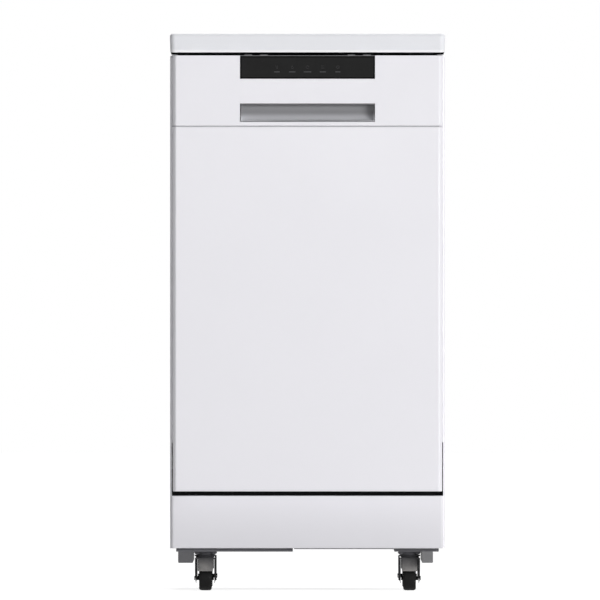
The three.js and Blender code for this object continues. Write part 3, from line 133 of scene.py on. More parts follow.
def slice_at(bm, axis, at, faces):
    """Cuts faces with a plane across an axis."""
    geom = faces + list({e for f in faces for e in f.edges}) + list({v for f in faces for v in f.verts})
    bmesh.ops.bisect_plane(bm, geom=geom, dist=1e-7, plane_co=unit(axis) * at * MM, plane_no=unit(axis))


def open_up(bm, x, y, z):
    """Cuts the faces that reach into a box along its limits, and takes away what lies inside it."""
    limits = (x, y, z)
    for axis, ends in enumerate(limits):
        for at in ends:
            slice_at(bm, axis, at, [f for f in bm.faces if reaches(f, limits)])
    drop_faces(bm, lambda centre, normal: all(p[0] < c < p[1] for p, c in zip(limits, centre)))


def drop_faces(bm, test):
    """Takes away the faces whose centre, in millimetres, and normal pass the test."""
    gone = [f for f in bm.faces if test(f.calc_center_median() / MM, f.normal)]
    bmesh.ops.delete(bm, geom=gone, context="FACES")


print("openings ready")

# %% [markdown]
# Turned parts, such as wheels and caps, are half a section that is spun a full turn. Long parts with
# one section, such as rails, are a filled outline that is pushed along. Both keep the real section in
# view as a short list of points, which is how a drawing of the part would give it.

# %% Spun and pushed sections
def turned(bm, profile, centre=(0, 0), steps=32, axis=2):
    """Spins a profile of (radius, height) pairs a full turn about an axis, in millimetres."""
    there = set(bm.verts)
    verts = [bm.verts.new(Vector((r, 0, h)) * MM) for r, h in profile]
    edges = [bm.edges.new(pair) for pair in zip(verts, verts[1:])]
    bmesh.ops.spin(bm, geom=verts + edges, cent=(0, 0, 0), axis=(0, 0, 1), dvec=(0, 0, 0),
                   angle=math.tau, steps=steps, use_merge=True, use_duplicate=False)
    bmesh.ops.remove_doubles(bm, verts=[v for v in bm.verts if v not in there], dist=1e-7)
    spun = [v for v in bm.verts if v not in there]
    turn = (Matrix.Rotation(math.pi / 2, 4, "Y"), Matrix.Rotation(-math.pi / 2, 4, "X"),
            Matrix.Identity(4))[axis]
    shift = list(centre)
    shift.insert(axis, 0)
    bmesh.ops.transform(bm, matrix=Matrix.Translation(Vector(shift) * MM) @ turn, verts=spun)


def plate(bm, outline, axis, limits):
    """Fills an outline, points in the plane across an axis, and pushes it from limit to limit."""
    points = []
    for place in outline:
        place = list(place)
        place.insert(axis, limits[0])
        points.append(bm.verts.new(Vector(place) * MM))
    push = bmesh.ops.extrude_face_region(bm, geom=[bm.faces.new(points)])
    pushed = [g for g in push["geom"] if isinstance(g, bmesh.types.BMVert)]
    bmesh.ops.translate(bm, vec=unit(axis) * (limits[1] - limits[0]) * MM, verts=pushed)
    return points + pushed


print("sections ready")

# %% [markdown]
# Every shape becomes a piece in the same way. Its doubles are merged, unless it has parts that only
# touch, and its faces are turned outwards. Then it may get a wall with Solidify and soft edges with
# Bevel. Weighted normals keep large flat faces flat next to small rounds, as in real sheet metal. Last,
# the piece is told which body it rides.

# %% Turning a shape into a piece
MERGE = 2e-6            # metres within which the points of one shape are merged
SOFT_ANGLE = 38         # degrees from which an edge gets the soft bevel
CREASE = 32             # degrees from which an edge is shaded sharp


def dress(obj, body, look, stands_for=()):
    """Gives a finished object its material, its body and the solids that it stands for."""
    obj.data.materials.append(look)
    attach(obj, body)
    if stands_for:
        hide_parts(*stands_for)
    return obj


def piece(name, bm, body, look, stands_for=(), edge=0, wall=0, weld=True, outward=None):
    """Makes a mesh piece: one finish, smooth faces, sharp creases, an optional wall and soft edges.

    A positive wall grows inwards, a negative one outwards. The outermost face along the direction
    outward must look that way, or else all faces are turned round. Lengths are in millimetres.
    """
    if weld:
        bmesh.ops.remove_doubles(bm, verts=bm.verts[:], dist=MERGE)
    bmesh.ops.recalc_face_normals(bm, faces=bm.faces[:])
    if outward:
        outermost = max(bm.faces, key=lambda f: f.calc_center_median().dot(Vector(outward)))
        if outermost.normal.dot(Vector(outward)) < 0:
            bmesh.ops.reverse_faces(bm, faces=bm.faces[:])
    for face in bm.faces:
        face.smooth = True
    for e in bm.edges:
        e.smooth = not e.is_manifold or e.calc_face_angle(0) < math.radians(CREASE)
    mesh = bpy.data.meshes.new(name)
    bm.to_mesh(mesh)
    bm.free()
    obj = bpy.data.objects.new(name, mesh)
    scene.collection.objects.link(obj)
    if wall:
        shell = obj.modifiers.new("wall", "SOLIDIFY")
        shell.thickness, shell.offset = abs(wall) * MM, -math.copysign(1, wall)
    if edge:
        soft = obj.modifiers.new("soft_edges", "BEVEL")
        soft.width, soft.segments, soft.limit_method = edge * MM, 2, "ANGLE"
        soft.angle_limit, soft.harden_normals = math.radians(SOFT_ANGLE), True
    even = obj.modifiers.new("even_normals", "WEIGHTED_NORMAL")
    even.weight, even.keep_sharp = 60, True
    dress(obj, body, look, stands_for)
    print(f"{name}: {len(mesh.polygons)} faces, rides {body}")
    return obj


def refined(node, body, look, edge):
    """A copy of a solid's mesh, merged and freed of its inner edges, with softened edges."""
    bm = bmesh.new()
    bm.from_mesh(frame["nodes"][node].data)
    bmesh.ops.remove_doubles(bm, verts=bm.verts[:], dist=MERGE)
    bmesh.ops.dissolve_limit(bm, angle_limit=math.radians(1), verts=bm.verts[:], edges=bm.edges[:])
    return piece(node + "_fine", bm, body, look, [node], edge=edge)


print("pieces ready")

# %% [markdown]
# ## Finishes
# A finish here is a Principled shader whose colour, roughness and bump change a little over the
# surface. Effects that several finishes share are built once as node groups. Each group reads a
# position in metres, and gives back only what changes over the surface: a height, a tone or a mask.

# %% Helpers for node trees
SOCKETS = {"value": "NodeSocketFloat", "vector": "NodeSocketVector", "colour": "NodeSocketColor"}


def add_node(tree, kind, **settings):
    """Adds a node. A setting that starts with in_ goes to the input of that name or number."""
    node = tree.nodes.new(kind)
    for key, value in settings.items():
        if key.startswith("in_"):
            name = key[3:].replace("_", " ")
            node.inputs[int(name) if name.isdigit() else name].default_value = value
        else:
            setattr(node, key, value)
    return node


def new_group(name, inputs, outputs):
    """An empty node group that reads a position, and its two end nodes."""
    group = bpy.data.node_groups.new(name, "ShaderNodeTree")
    for label, (kind, default) in {"Position": ("vector", None), **inputs}.items():
        socket = group.interface.new_socket(name=label, in_out="INPUT", socket_type=SOCKETS[kind])
        if default is not None:
            socket.default_value = default
    for label, kind in outputs.items():
        group.interface.new_socket(name=label, in_out="OUTPUT", socket_type=SOCKETS[kind])
    return group, group.nodes.new("NodeGroupInput"), group.nodes.new("NodeGroupOutput")


def link(tree, pairs):
    """Joins outputs to inputs, pair by pair."""
    for source, target in pairs:
        tree.links.new(source, target)


def math_node(tree, operation, a, b, clamp=False):
    """A Math node on two inputs, each a number or another node's output."""
    node = add_node(tree, "ShaderNodeMath", operation=operation, use_clamp=clamp)
    for socket, value in zip(node.inputs, (a, b)):
        if isinstance(value, (int, float)):
            socket.default_value = value
        else:
            tree.links.new(value, socket)
    return node.outputs[0]


def texture(group, start, kind, size=None, **settings):
    """A texture on the group's position. Its scale comes from the input that gives a size in mm."""
    node = add_node(group, kind, **settings)
    group.links.new(start.outputs["Position"], node.inputs["Vector"])
    if size:
        group.links.new(math_node(group, "DIVIDE", 1 / MM, start.outputs[size]), node.inputs["Scale"])
    return node


RELIEF = {"Height": "value", "Tone": "value"}
print("node helpers ready")

# %% [markdown]
# Orange peel is the very shallow waviness of sprayed or powder-coated paint. Moulding grain is the
# fine spark-eroded texture of a plastic tool: rounded cells with specks on them. Brushing is grain
# that is drawn out in one direction. Perforation is the square pattern of holes in a filter screen.

# %% Surface textures
def make_peel():
    """Soft waves, and a slow drift of the tone."""
    group, start, end = new_group("orange_peel", {"Cell": ("value", 3.0)}, RELIEF)
    waves = texture(group, start, "ShaderNodeTexNoise", "Cell", in_Detail=2.0, in_Roughness=0.45)
    slow = texture(group, start, "ShaderNodeTexNoise", in_Scale=3.0, in_Detail=2.0)
    link(group, [(waves.outputs["Fac"], end.inputs["Height"]), (slow.outputs["Fac"], end.inputs["Tone"])])
    return group


def make_grain():
    """Rounded cells with fine specks on them."""
    group, start, end = new_group("moulding_grain", {"Cell": ("value", 0.8)}, RELIEF)
    cells = texture(group, start, "ShaderNodeTexVoronoi", "Cell", in_Randomness=1.0, feature="SMOOTH_F1")
    specks = texture(group, start, "ShaderNodeTexNoise", "Cell", in_Detail=3.0, in_Roughness=0.6)
    height = math_node(group, "MULTIPLY", specks.outputs["Fac"], 0.6)
    total = math_node(group, "ADD", height, cells.outputs["Distance"])
    link(group, [(total, end.inputs["Height"]), (specks.outputs["Fac"], end.inputs["Tone"])])
    return group


def make_brushing():
    """Noise drawn out along the axis whose factor is small."""
    group, start, end = new_group("brushing", {"Along": ("vector", (0.02, 1, 1)), "Cell": ("value", 0.5)},
                                  RELIEF)
    lines = texture(group, start, "ShaderNodeTexNoise", "Cell", in_Detail=4.0, in_Roughness=0.65)
    drawn = add_node(group, "ShaderNodeVectorMath", operation="MULTIPLY")
    link(group, [(start.outputs["Position"], drawn.inputs[0]), (start.outputs["Along"], drawn.inputs[1]),
                 (drawn.outputs[0], lines.inputs["Vector"]), (lines.outputs["Fac"], end.inputs["Height"]),
                 (lines.outputs["Fac"], end.inputs["Tone"])])
    return group


def make_perforation():
    """A square grid of round holes: 0 inside a hole, 1 between them."""
    group, start, end = new_group("perforation", {"Cell": ("value", 2.4)}, RELIEF)
    grid = add_node(group, "ShaderNodeVectorMath", operation="SCALE")
    cell = add_node(group, "ShaderNodeVectorMath", operation="FRACTION")
    parts = add_node(group, "ShaderNodeSeparateXYZ")
    link(group, [(start.outputs["Position"], grid.inputs[0]), (grid.outputs[0], cell.inputs[0]),
                 (math_node(group, "DIVIDE", 1 / MM, start.outputs["Cell"]), grid.inputs["Scale"]),
                 (cell.outputs[0], parts.inputs[0])])
    squares = [math_node(group, "POWER", math_node(group, "SUBTRACT", parts.outputs[axis], 0.5), 2.0)
               for axis in "XY"]
    reach = math_node(group, "SQRT", math_node(group, "ADD", *squares), 0.0)
    solid = add_node(group, "ShaderNodeMapRange", in_1=0.27, in_2=0.34)
    link(group, [(reach, solid.inputs[0]), (solid.outputs[0], end.inputs["Height"]),
                 (solid.outputs[0], end.inputs["Tone"])])
    return group


EFFECTS = {"peel": make_peel(), "grain": make_grain(), "brushing": make_brushing(),
           "perforation": make_perforation()}
print("textures:", ", ".join(EFFECTS))

# %% [markdown]
# Handling dulls a surface in soft patches, so the roughness wanders between two values. Floor dust
# settles on what is close to the ground; made strong, the same blotches turn a part pale towards its
# foot, which on the caster forks is painted light. A painted shade lets a surface that turns away from
# the light grow slowly darker, which the toe panel and the grip need, because the studio has no dark floor.

# %% Wear, dust and painted shade
def make_handling():
    """A roughness that wanders between two values in patches."""
    group, start, end = new_group("handling", {"Patch": ("value", 60.0), "Low": ("value", 0.3),
                                               "High": ("value", 0.4)}, {"Roughness": "value"})
    patches = texture(group, start, "ShaderNodeTexNoise", "Patch", in_Detail=5.0, in_Roughness=0.6,
                      in_Distortion=0.6)
    stretch = add_node(group, "ShaderNodeMapRange", in_1=0.35, in_2=0.68)
    link(group, [(patches.outputs["Fac"], stretch.inputs[0]), (start.outputs["Low"], stretch.inputs[3]),
                 (start.outputs["High"], stretch.inputs[4]), (stretch.outputs[0], end.inputs["Roughness"])])
    return group


def make_floor_dust():
    """A colour that turns dusty in blotches, more so the closer to the floor. A large amount turns the part
    pale towards its foot, which is painted light.
    """
    group, start, end = new_group("floor_dust", {
        "Reach": ("value", 0.12), "Clean": ("colour", (1, 1, 1, 1)),
        "Dust and light": ("colour", (0.5, 0.48, 0.46, 1)), "Amount": ("value", 0.2)}, {"Colour": "colour"})
    parts = add_node(group, "ShaderNodeSeparateXYZ")
    fade = add_node(group, "ShaderNodeMapRange", in_1=0.0, in_3=1.0, in_4=0.0)
    link(group, [(start.outputs["Position"], parts.inputs[0]), (parts.outputs["Z"], fade.inputs[0]),
                 (start.outputs["Reach"], fade.inputs[2])])
    blotches = texture(group, start, "ShaderNodeTexNoise", in_Scale=55.0, in_Detail=6.0, in_Roughness=0.7)
    mask = math_node(group, "MULTIPLY", fade.outputs[0], blotches.outputs["Fac"])
    strength = math_node(group, "MULTIPLY", mask, start.outputs["Amount"], clamp=True)
    mix = add_node(group, "ShaderNodeMix", data_type="RGBA")
    link(group, [(strength, mix.inputs[0]), (start.outputs["Clean"], mix.inputs[6]),
                 (start.outputs["Dust and light"], mix.inputs[7]), (mix.outputs[2], end.inputs["Colour"])])
    return group


def make_height_fade():
    """Painted shade: a colour that darkens from one height to another, down to a share of itself."""
    group, start, end = new_group("height_fade", {
        "Low": ("value", 0.0), "High": ("value", 1.0), "Colour": ("colour", (1, 1, 1, 1)),
        "Shade": ("value", 0.8)}, {"Colour": "colour"})
    parts = add_node(group, "ShaderNodeSeparateXYZ")
    fade = add_node(group, "ShaderNodeMapRange", in_3=1.0, interpolation_type="SMOOTHSTEP")
    shaded = add_node(group, "ShaderNodeVectorMath", operation="SCALE")
    link(group, [(start.outputs["Position"], parts.inputs[0]), (parts.outputs["Z"], fade.inputs[0]),
                 (start.outputs["Low"], fade.inputs[1]), (start.outputs["High"], fade.inputs[2]),
                 (start.outputs["Shade"], fade.inputs[4]), (start.outputs["Colour"], shaded.inputs[0]),
                 (fade.outputs[0], shaded.inputs["Scale"]), (shaded.outputs[0], end.inputs["Colour"])])
    return group


EFFECTS.update(handling=make_handling(), dust=make_floor_dust(), fade=make_height_fade())
print("shared effects:", ", ".join(group.name for group in EFFECTS.values()))

# %% [markdown]
# One function builds a finish from a base colour and the effects that it uses. The numbers that stay
# the same all over a surface are set straight on the shader.

# %% A finish from its effects
def effect(tree, name, where, **values):
    """Places one of the shared effects in a material, with its own values."""
    node = add_node(tree, "ShaderNodeGroup", node_tree=EFFECTS[name])
    for label, value in values.items():
        node.inputs[label].default_value = value
    tree.links.new(where, node.inputs["Position"])
    return node


def finish(name, colour, tint=0.04, relief="peel", cell=3.0, depth=0.02, gloss=(0.3, 0.4), patch=60.0,
           drawn=None, dust=0.0, dust_reach=0.12, metal=0.0, coat=0.0, specular=0.5, fade=None):
    """A material. Lengths are in millimetres, apart from the reach of the dust and painted light and the
    heights of the painted shade, in metres.
    """
    material = bpy.data.materials.new(name)
    material.use_nodes = True
    tree = material.node_tree
    shader = tree.nodes["Principled BSDF"]
    where = add_node(tree, "ShaderNodeTexCoord").outputs["Object"]
    surface = effect(tree, relief, where, Cell=cell, **({"Along": drawn} if drawn else {}))
    wear = effect(tree, "handling", where, Patch=patch, Low=gloss[0], High=gloss[1])
    tone = add_node(tree, "ShaderNodeMix", data_type="RGBA", in_6=(*[c * (1 - tint) for c in colour], 1),
                    in_7=(*[min(1.0, c * (1 + tint)) for c in colour], 1))
    tree.links.new(surface.outputs["Tone"], tone.inputs[0])
    shade = tone.outputs[2]
    # Dust near the floor; made strong, as on the caster forks, it is painted light.
    if dust:
        dust_and_light_node = effect(tree, "dust", where, Amount=dust, Reach=dust_reach)
        tree.links.new(shade, dust_and_light_node.inputs["Clean"])
        shade = dust_and_light_node.outputs["Colour"]
    # Painted shade that darkens the colour between two heights.
    if fade:
        faded = effect(tree, "fade", where, Low=fade[0], High=fade[1], Shade=fade[2])
        tree.links.new(shade, faded.inputs["Colour"])
        shade = faded.outputs["Colour"]
    bump = add_node(tree, "ShaderNodeBump", in_Strength=1.0, in_Distance=depth * MM)
    link(tree, [(shade, shader.inputs["Base Color"]), (wear.outputs["Roughness"], shader.inputs["Roughness"]),
                (surface.outputs["Height"], bump.inputs["Height"]),
                (bump.outputs["Normal"], shader.inputs["Normal"])])
    for label, value in (("Metallic", metal), ("Coat Weight", coat), ("Coat Roughness", 0.12),
                         ("Specular IOR Level", specular)):
        shader.inputs[label].default_value = value
    return material


def srgb(*values):
    """A colour as it is read off a screen, turned into the linear one that the shader wants."""
    return [((v / 255 + 0.055) / 1.055) ** 2.4 if v > 10 else v / 255 / 12.92 for v in values]


print("finish ready")

# %% [markdown]
# The outside is white all over, but not one white. The enamelled sheets have orange peel under a thin
# clear coat, the worktop a matt laminate, and the control head a fine moulding grain. Each white stays
# well below 255, so that the lit faces keep their form. The window, its hem and the grip are mouldings
# with little mirror shine, because a glossy black would pick up the white studio. The window is dark;
# the hem's grey is a painted highlight on the window's top edge, and the grip is nearly white, with
# painted shade that darkens it towards the top.

# %% Whites, window and grip
ENAMELLED = {"tint": 0.010, "cell": 2.6, "depth": 0.006, "gloss": (0.34, 0.42), "patch": 140, "coat": 0.25}
ENAMEL = finish("white_enamel", srgb(243, 242, 247), **ENAMELLED)
# The toe panel's enamel is a darker copy of the door's, with painted shade that deepens towards the floor.
TOE_ENAMEL_SHADED = finish("toe_enamel_painted_shade", srgb(238, 237, 242), **ENAMELLED, fade=(0.150, 0.070, 0.93))
LAMINATE = finish("white_worktop", srgb(241, 242, 246), 0.012, "grain", 1.6, 0.008, (0.38, 0.48), 110,
                  specular=0.35)
# The edging is whiter than the laminate: a painted highlight along the board's rounded foot.
EDGE_HIGHLIGHT = finish("white_edging_painted_highlight", srgb(250, 250, 252), 0.004, "grain", 0.9, 0.003, (0.24, 0.3), 90)
WHITE_PLASTIC = finish("white_moulding", srgb(245, 244, 249), 0.008, "grain", 0.9, 0.004, (0.38, 0.45), 90)
LID_WHITE = finish("lid_white", srgb(222, 224, 226), 0.02, "grain", 0.8, 0.008, (0.36, 0.46), 20)
DARK_WINDOW = finish("dark_window", srgb(25, 25, 25), 0.05, "peel", 6, 0.001, (0.22, 0.28), 40,
                     specular=0.045)
WINDOW_RIM = finish("window_rim", srgb(4, 4, 4), 0.1, "grain", 0.7, 0.003, (0.5, 0.6), 30, specular=0.02)
# The hem's grey is a painted highlight on the window's black top edge; the toe panel's hem wears it as a plain
# grey.
HEM_GREY_AND_HIGHLIGHT = finish("satin_hem_and_highlight", srgb(112, 112, 114), 0.05, "grain", 0.6, 0.003, (0.34, 0.42), 30,
                  specular=0.4)
BUTTON_GREY = finish("button_grey", srgb(136, 136, 139), 0.03, "grain", 0.5, 0.004, (0.4, 0.5), 12,
                     specular=0.3)
PRINT = finish("window_print", srgb(78, 78, 80), 0.05, "grain", 0.5, 0.002, (0.5, 0.6), 20, specular=0.1)
# The grip is nearly white; its grey is painted shade, darkest at the roof of the slot.
GRIP_PAINTED_SHADE = finish("grip_painted_shade", srgb(240, 240, 245), 0.03, "grain", 0.7, 0.006, (0.42, 0.5), 35,
                   fade=(0.768, 0.783, 0.32))
GREY_PLASTIC = finish("grey_moulding", srgb(170, 170, 175), 0.03, "grain", 0.7, 0.006, (0.42, 0.5), 35)
print("finishes so far:", len(bpy.data.materials))

# %% [markdown]
# Under the cabinet everything is steel: painted plates and sections in several greys, zinc-coated
# springs and sheet, and brushed stainless steel around the water. Some greys are painted light and
# shade: the left box section is a darker copy of one steel and the right a lighter one, and the caster
# legs a darker copy of the fork's. Painted steel has a coarser peel than enamel, and dust gathers on
# what is near the floor; on the fork the dust is so strong that it is painted light, paling the apron
# towards its foot. Zinc is grainy in large soft cells, its spangle.

# %% Steels
PAINTED = {"tint": 0.06, "relief": "peel", "cell": 1.8, "depth": 0.012}
TUBING = {**PAINTED, "gloss": (0.4, 0.55), "patch": 25, "dust": 0.10, "specular": 0.25}
DARK_STEEL = finish("dark_steel", srgb(98, 98, 101), **TUBING)
# The box sections are one steel in two copies: darker on the left, painted shade, and lighter on the right,
# painted light.
TUBE_STEEL_SHADED = finish("tube_steel_painted_shade", srgb(88, 88, 91), **TUBING)
TUBE_STEEL_LIT = finish("tube_steel_right", srgb(120, 120, 122), **TUBING)
BASE_STEEL = finish("base_steel", srgb(104, 104, 108), **PAINTED, gloss=(0.45, 0.6), patch=25,
                    dust=0.04, specular=0.15)
# The fork's dust is strong and reaches far up, so the apron pales towards its foot: painted light with dust
# blotches in it.
FORK_STEEL_DUST_AND_LIGHT = finish("fork_steel_dust_and_light", srgb(52, 52, 55), **PAINTED, gloss=(0.4, 0.55), patch=12, dust=2.4,
                    dust_reach=0.054, specular=0.2)
# The legs are a darker copy of the fork's steel: painted shade on their edges.
LEG_STEEL_SHADED = finish("leg_steel_painted_shade", srgb(34, 34, 36), 0.08, "peel", 1.8, 0.012, (0.4, 0.55), 12, dust=0.1,
                   dust_reach=0.03, specular=0.15)
# Near black: painted shadow, for the top frame and the strips in the gap under the worktop.
SHADOW_BLACK = finish("frame_painted_shadow", srgb(8, 8, 9), 0.1, "peel", 1.8, 0.012, (0.5, 0.6), 25,
                     specular=0.02)
ZINC = finish("zinc_steel", srgb(176, 178, 180), 0.14, "grain", 7, 0.004, (0.3, 0.48), 18, metal=0.85)
REAR_ZINC = finish("rear_zinc", srgb(172, 175, 178), 0.10, "grain", 9, 0.004, (0.36, 0.5), 60, metal=0.7)
STAINLESS = finish("stainless", srgb(205, 206, 208), 0.05, "brushing", 0.6, 0.0012, (0.30, 0.38), 120,
                   drawn=(0.03, 1, 1), metal=1.0)
FILTER_STEEL = finish("filter_steel", srgb(150, 151, 153), 0.55, "perforation", 2.6, 0.3, (0.26, 0.36), 60,
                      metal=1.0)
print("finishes so far:", len(bpy.data.materials))

# %% [markdown]
# The wet side has nylon on the racks, black rubber on seal and wheels, and mouldings from pale grey to
# black. They share the moulding grain and differ in colour and shine, as parts from different tools do.

# %% Rubber, nylon and fittings
RUBBER = finish("black_rubber", srgb(22, 22, 22), 0.2, "grain", 1.1, 0.02, (0.55, 0.7), 12, dust=0.03,
                dust_reach=0.03, specular=0.10)
NYLON = finish("coated_wire", srgb(176, 181, 188), 0.05, "peel", 1.6, 0.02, (0.28, 0.4), 30)
GREY_FITTING = finish("grey_plastic", srgb(118, 121, 126), 0.05, "grain", 0.8, 0.01, (0.4, 0.52), 30)
ARM_GREY = finish("arm_grey", srgb(150, 153, 158), 0.04, "grain", 0.8, 0.01, (0.38, 0.5), 30)
BASKET_GREY = finish("basket_grey", srgb(132, 136, 142), 0.05, "grain", 0.8, 0.01, (0.4, 0.52), 30)
FILTER_PLASTIC = finish("filter_plastic", srgb(84, 87, 92), 0.06, "grain", 0.8, 0.01, (0.4, 0.52), 30)
DARK_MOULDING = finish("dark_moulding", srgb(26, 26, 29), 0.1, "grain", 0.8, 0.01, (0.5, 0.6), 25,
                       specular=0.15)
BLACK_PLASTIC = finish("black_plastic", srgb(38, 38, 41), 0.1, "grain", 0.8, 0.01, (0.42, 0.55), 25,
                       specular=0.3)
print("finishes:", len(bpy.data.materials))

# %% [markdown]
# ## Worktop
# The lid is a coated board with eased corners and a thin rounded edging underneath, which shows as a
# bright line over the dark gap; the edging's whiter colour is a painted highlight. A cube gets its four
# uprights rounded, then its top rim, and its foot is drawn in a little, as on the real board. The
# edging is a second, thinner slab with round edges. Two near-black strips under the front corners fill
# the gap where the board rests on the cabinet: a painted shadow, where the gap holds only shade.

# %% Worktop board, edging and painted shadow strips
def limits_of(node):
    """A solid's lowest and highest corner, in millimetres."""
    return [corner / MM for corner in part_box(node)]


low, high = limits_of("worktop")
EDGING, DRAW_IN, CORNER, RIM_ROUND = 5.6, 0.9, 9, 5
lip_top = low.z + EDGING
bm = bmesh.new()
verts = box(bm, (low.x, high.x), (low.y, high.y), (lip_top, high.z))
for v in verts:
    if v.co.z < (lip_top + 1) * MM:
        v.co.x -= math.copysign(DRAW_IN * MM, v.co.x)
        v.co.y += math.copysign(DRAW_IN * MM, -v.co.y)
bevel(bm, edges_of(verts, lambda a, b: abs(a.z - b.z) > 5), CORNER, 8)
top = [e for e in bm.edges if all(abs(v.co.z / MM - high.z) < NEAR for v in e.verts) and not e.is_boundary]
bevel(bm, [e for e in top if len({f.normal.z > 0.9 for f in e.link_faces}) == 2], RIM_ROUND, 6)
piece("worktop_board", bm, "cabinet", LAMINATE, ["worktop"], weld=False)
bm = bmesh.new()
rounded_box(bm, (low.x + DRAW_IN, high.x - DRAW_IN), (low.y + DRAW_IN, high.y - DRAW_IN),
            (low.z + 1.0, lip_top + 0.2), 8, 2, 8, 1.0, 4)
piece("worktop_edging", bm, "cabinet", EDGE_HIGHLIGHT, ["worktop"], weld=False)
# Near-black strips in the shaded gap: painted shadow.
bm = bmesh.new()
for side in (-1, 1):
    rounded_box(bm, sorted((side * 206, side * 222.6)), (low.y + 3, low.y + 30),
                (low.z - 2.0, low.z + 1.6), 0.6, 0, 2)
piece("worktop_gap_shadow", bm, "cabinet", SHADOW_BLACK, ["worktop"])

# %% [markdown]
# ## Cabinet sides
# Each side is one enamelled sheet, folded round at the front and the back. Four walls of a box are
# kept, the two outer uprights are rounded, and the Solidify modifier gives the sheet its thickness.
# Below the door the front fold is cut away, so that the foot of the opening door can pass.

# %% Side panels
SHEET = 1.2             # thickness of the steel sheet
FOLD_END = 242.3        # height below which the front fold is cut away
SIDES = ((-1, "left"), (1, "right"))
for side, hand in SIDES:
    low, high = limits_of(f"side_panel_{hand}")
    outer, inner = (high.x, low.x) if side > 0 else (low.x, high.x)
    bm = bmesh.new()
    box(bm, (low.x, high.x), (low.y, high.y), (low.z, high.z))
    drop_faces(bm, lambda c, n: abs(c.x - inner) < 0.1 or abs(c.z - low.z) < 0.1)
    bevel(bm, [e for e in bm.edges if all(abs(v.co.x / MM - outer) < 0.1 for v in e.verts)], 2.6, 5)
    open_up(bm, sorted((side * 200, side * 221.6)), (low.y - 5, low.y + 0.5), (low.z - 5, FOLD_END))
    piece(f"side_sheet_{hand}", bm, "cabinet", ENAMEL, [f"side_panel_{hand}"], wall=SHEET)

# %% [markdown]
# ## Door skin
# The door front is a tray of enamelled steel. Its long uprights are folded twice, so each shows as a
# narrow slanting band, with tighter folds at the top and the foot and a flange turned in at the back.
# It begins as a box without a back. A bevel of one step makes the slanting band and a second, small
# one softens both of its edges. The open edge is extruded and pulled inwards for the flange, and slots
# are cut for the hinge lugs.

# %% Door panel
def tray(low, high, band, rim_round, flange=0, fold=1.6):
    """A sheet tray that is open at the back: slanting bands at its uprights, round rims, a flange."""
    upright = along(2)
    bm = bmesh.new()
    box(bm, (low.x, high.x), (low.y, high.y), (low.z, high.z))
    drop_faces(bm, lambda c, n: abs(c.y - high.y) < 0.1)
    bevel(bm, [e for e in bm.edges if upright(*[v.co / MM for v in e.verts])
               and abs(e.verts[0].co.y / MM - low.y) < 0.1], band, 1)
    bevel(bm, [e for e in bm.edges if len(e.link_faces) == 2 and upright(*[v.co / MM for v in e.verts])],
          fold, 4)
    bevel(bm, rims_across(bm, 2), rim_round, 4)
    if flange:
        hem = bmesh.ops.extrude_edge_only(bm, edges=[e for e in bm.edges if e.is_boundary])
        for v in [g for g in hem["geom"] if isinstance(g, bmesh.types.BMVert)]:
            x, z = v.co.x / MM, v.co.z / MM
            if abs(x) > high.x - flange:
                v.co.x = math.copysign(high.x - flange, x) * MM
            v.co.z = min(max(z, low.z + flange), high.z - flange) * MM
    return bm


CORNER_BAND = 4.6       # width of the slanting band at each upright
low, high = limits_of("door_panel")
bm = tray(low, high, CORNER_BAND, 1.7, flange=13)
for side in (-1, 1):
    open_up(bm, sorted((side * 208.5, side * 214.5)), (-297.5, -263), (160, 218))
piece("door_skin", bm, "door", ENAMEL, ["door_panel"], wall=SHEET)

# %% [markdown]
# ## Control head
# The fascia is a moulding in the same section as the door skin, with one opening for the dark window
# along its top edge and one for the grip. Cutting planes outline the openings, the faces in them are
# taken away, and the wall thickness makes their rims. A small bevel then rounds every rim. A grey tongue
# under its lower edge closes the seam over the door skin, so that the seam is only a shallow groove;
# the tongue's grey is painted shade, the tone of the shaded seam.

# %% Fascia
OPENING = (-110.3, 110.3)               # window and grip are equally wide
WINDOW_FOOT, GRIP = 836.3, (766.1, 796.1)
low, high = limits_of("fascia")
bm = tray(low, high, CORNER_BAND, 1.2)
open_up(bm, OPENING, (low.y - 2, low.y + 22), (WINDOW_FOOT, high.z + 3))
open_up(bm, OPENING, (low.y - 2, low.y + 8), GRIP)
piece("fascia_head", bm, "door", WHITE_PLASTIC, ["fascia"], wall=2.5, edge=0.7)
# The tongue's grey is painted shade in the seam.
bm = bmesh.new()
box(bm, (low.x + 5, high.x - 5), (low.y + 1.5, low.y + 8), (low.z - 1.4, low.z + 0.6))
piece("seam_tongue_painted_shade", bm, "door", GREY_PLASTIC, ["fascia"])

# %% [markdown]
# ## Display window
# A dark strip that turns over the top of the fascia. Its front is one pane with a black border and a
# slightly lighter field. Insetting the front face twice gives the border and a thin step, and the
# middle is pushed back a little. A satin grey hem along the top edge is a painted highlight, the light
# that the strip's rounded edge catches, and the buttons stand behind it in rectangular holes.

# %% Window strip
HIGHLIGHT_HEM, BORDER, STEP_BACK = 1.2, 2.3, 0.3
BUTTON_PLACES = (-97, -71.5, 71.5, 97)
low, high = limits_of("display_window")
bm = bmesh.new()
box(bm, (low.x, high.x), (low.y, low.y + 3), (low.z, high.z - HIGHLIGHT_HEM))
bmesh.ops.recalc_face_normals(bm, faces=bm.faces[:])
front = [f for f in bm.faces if f.normal.y < -0.9]
bmesh.ops.inset_region(bm, faces=front, thickness=BORDER * MM, depth=0)
bmesh.ops.inset_region(bm, faces=front, thickness=0.4 * MM, depth=-STEP_BACK * MM)
for f in front:
    f.material_index = 1
box(bm, (low.x, high.x), (low.y + 2.6, high.y), (high.z - 3, high.z - 0.3))
for x in BUTTON_PLACES:
    open_up(bm, (x - 6.8, x + 6.8), (-292.9, -281.9), (high.z - 3.2, high.z + 0.2))
strip = piece("window_strip", bm, "door", WINDOW_RIM, ["display_window"], weld=False,
              edge=0.25)
strip.data.materials.append(DARK_WINDOW)
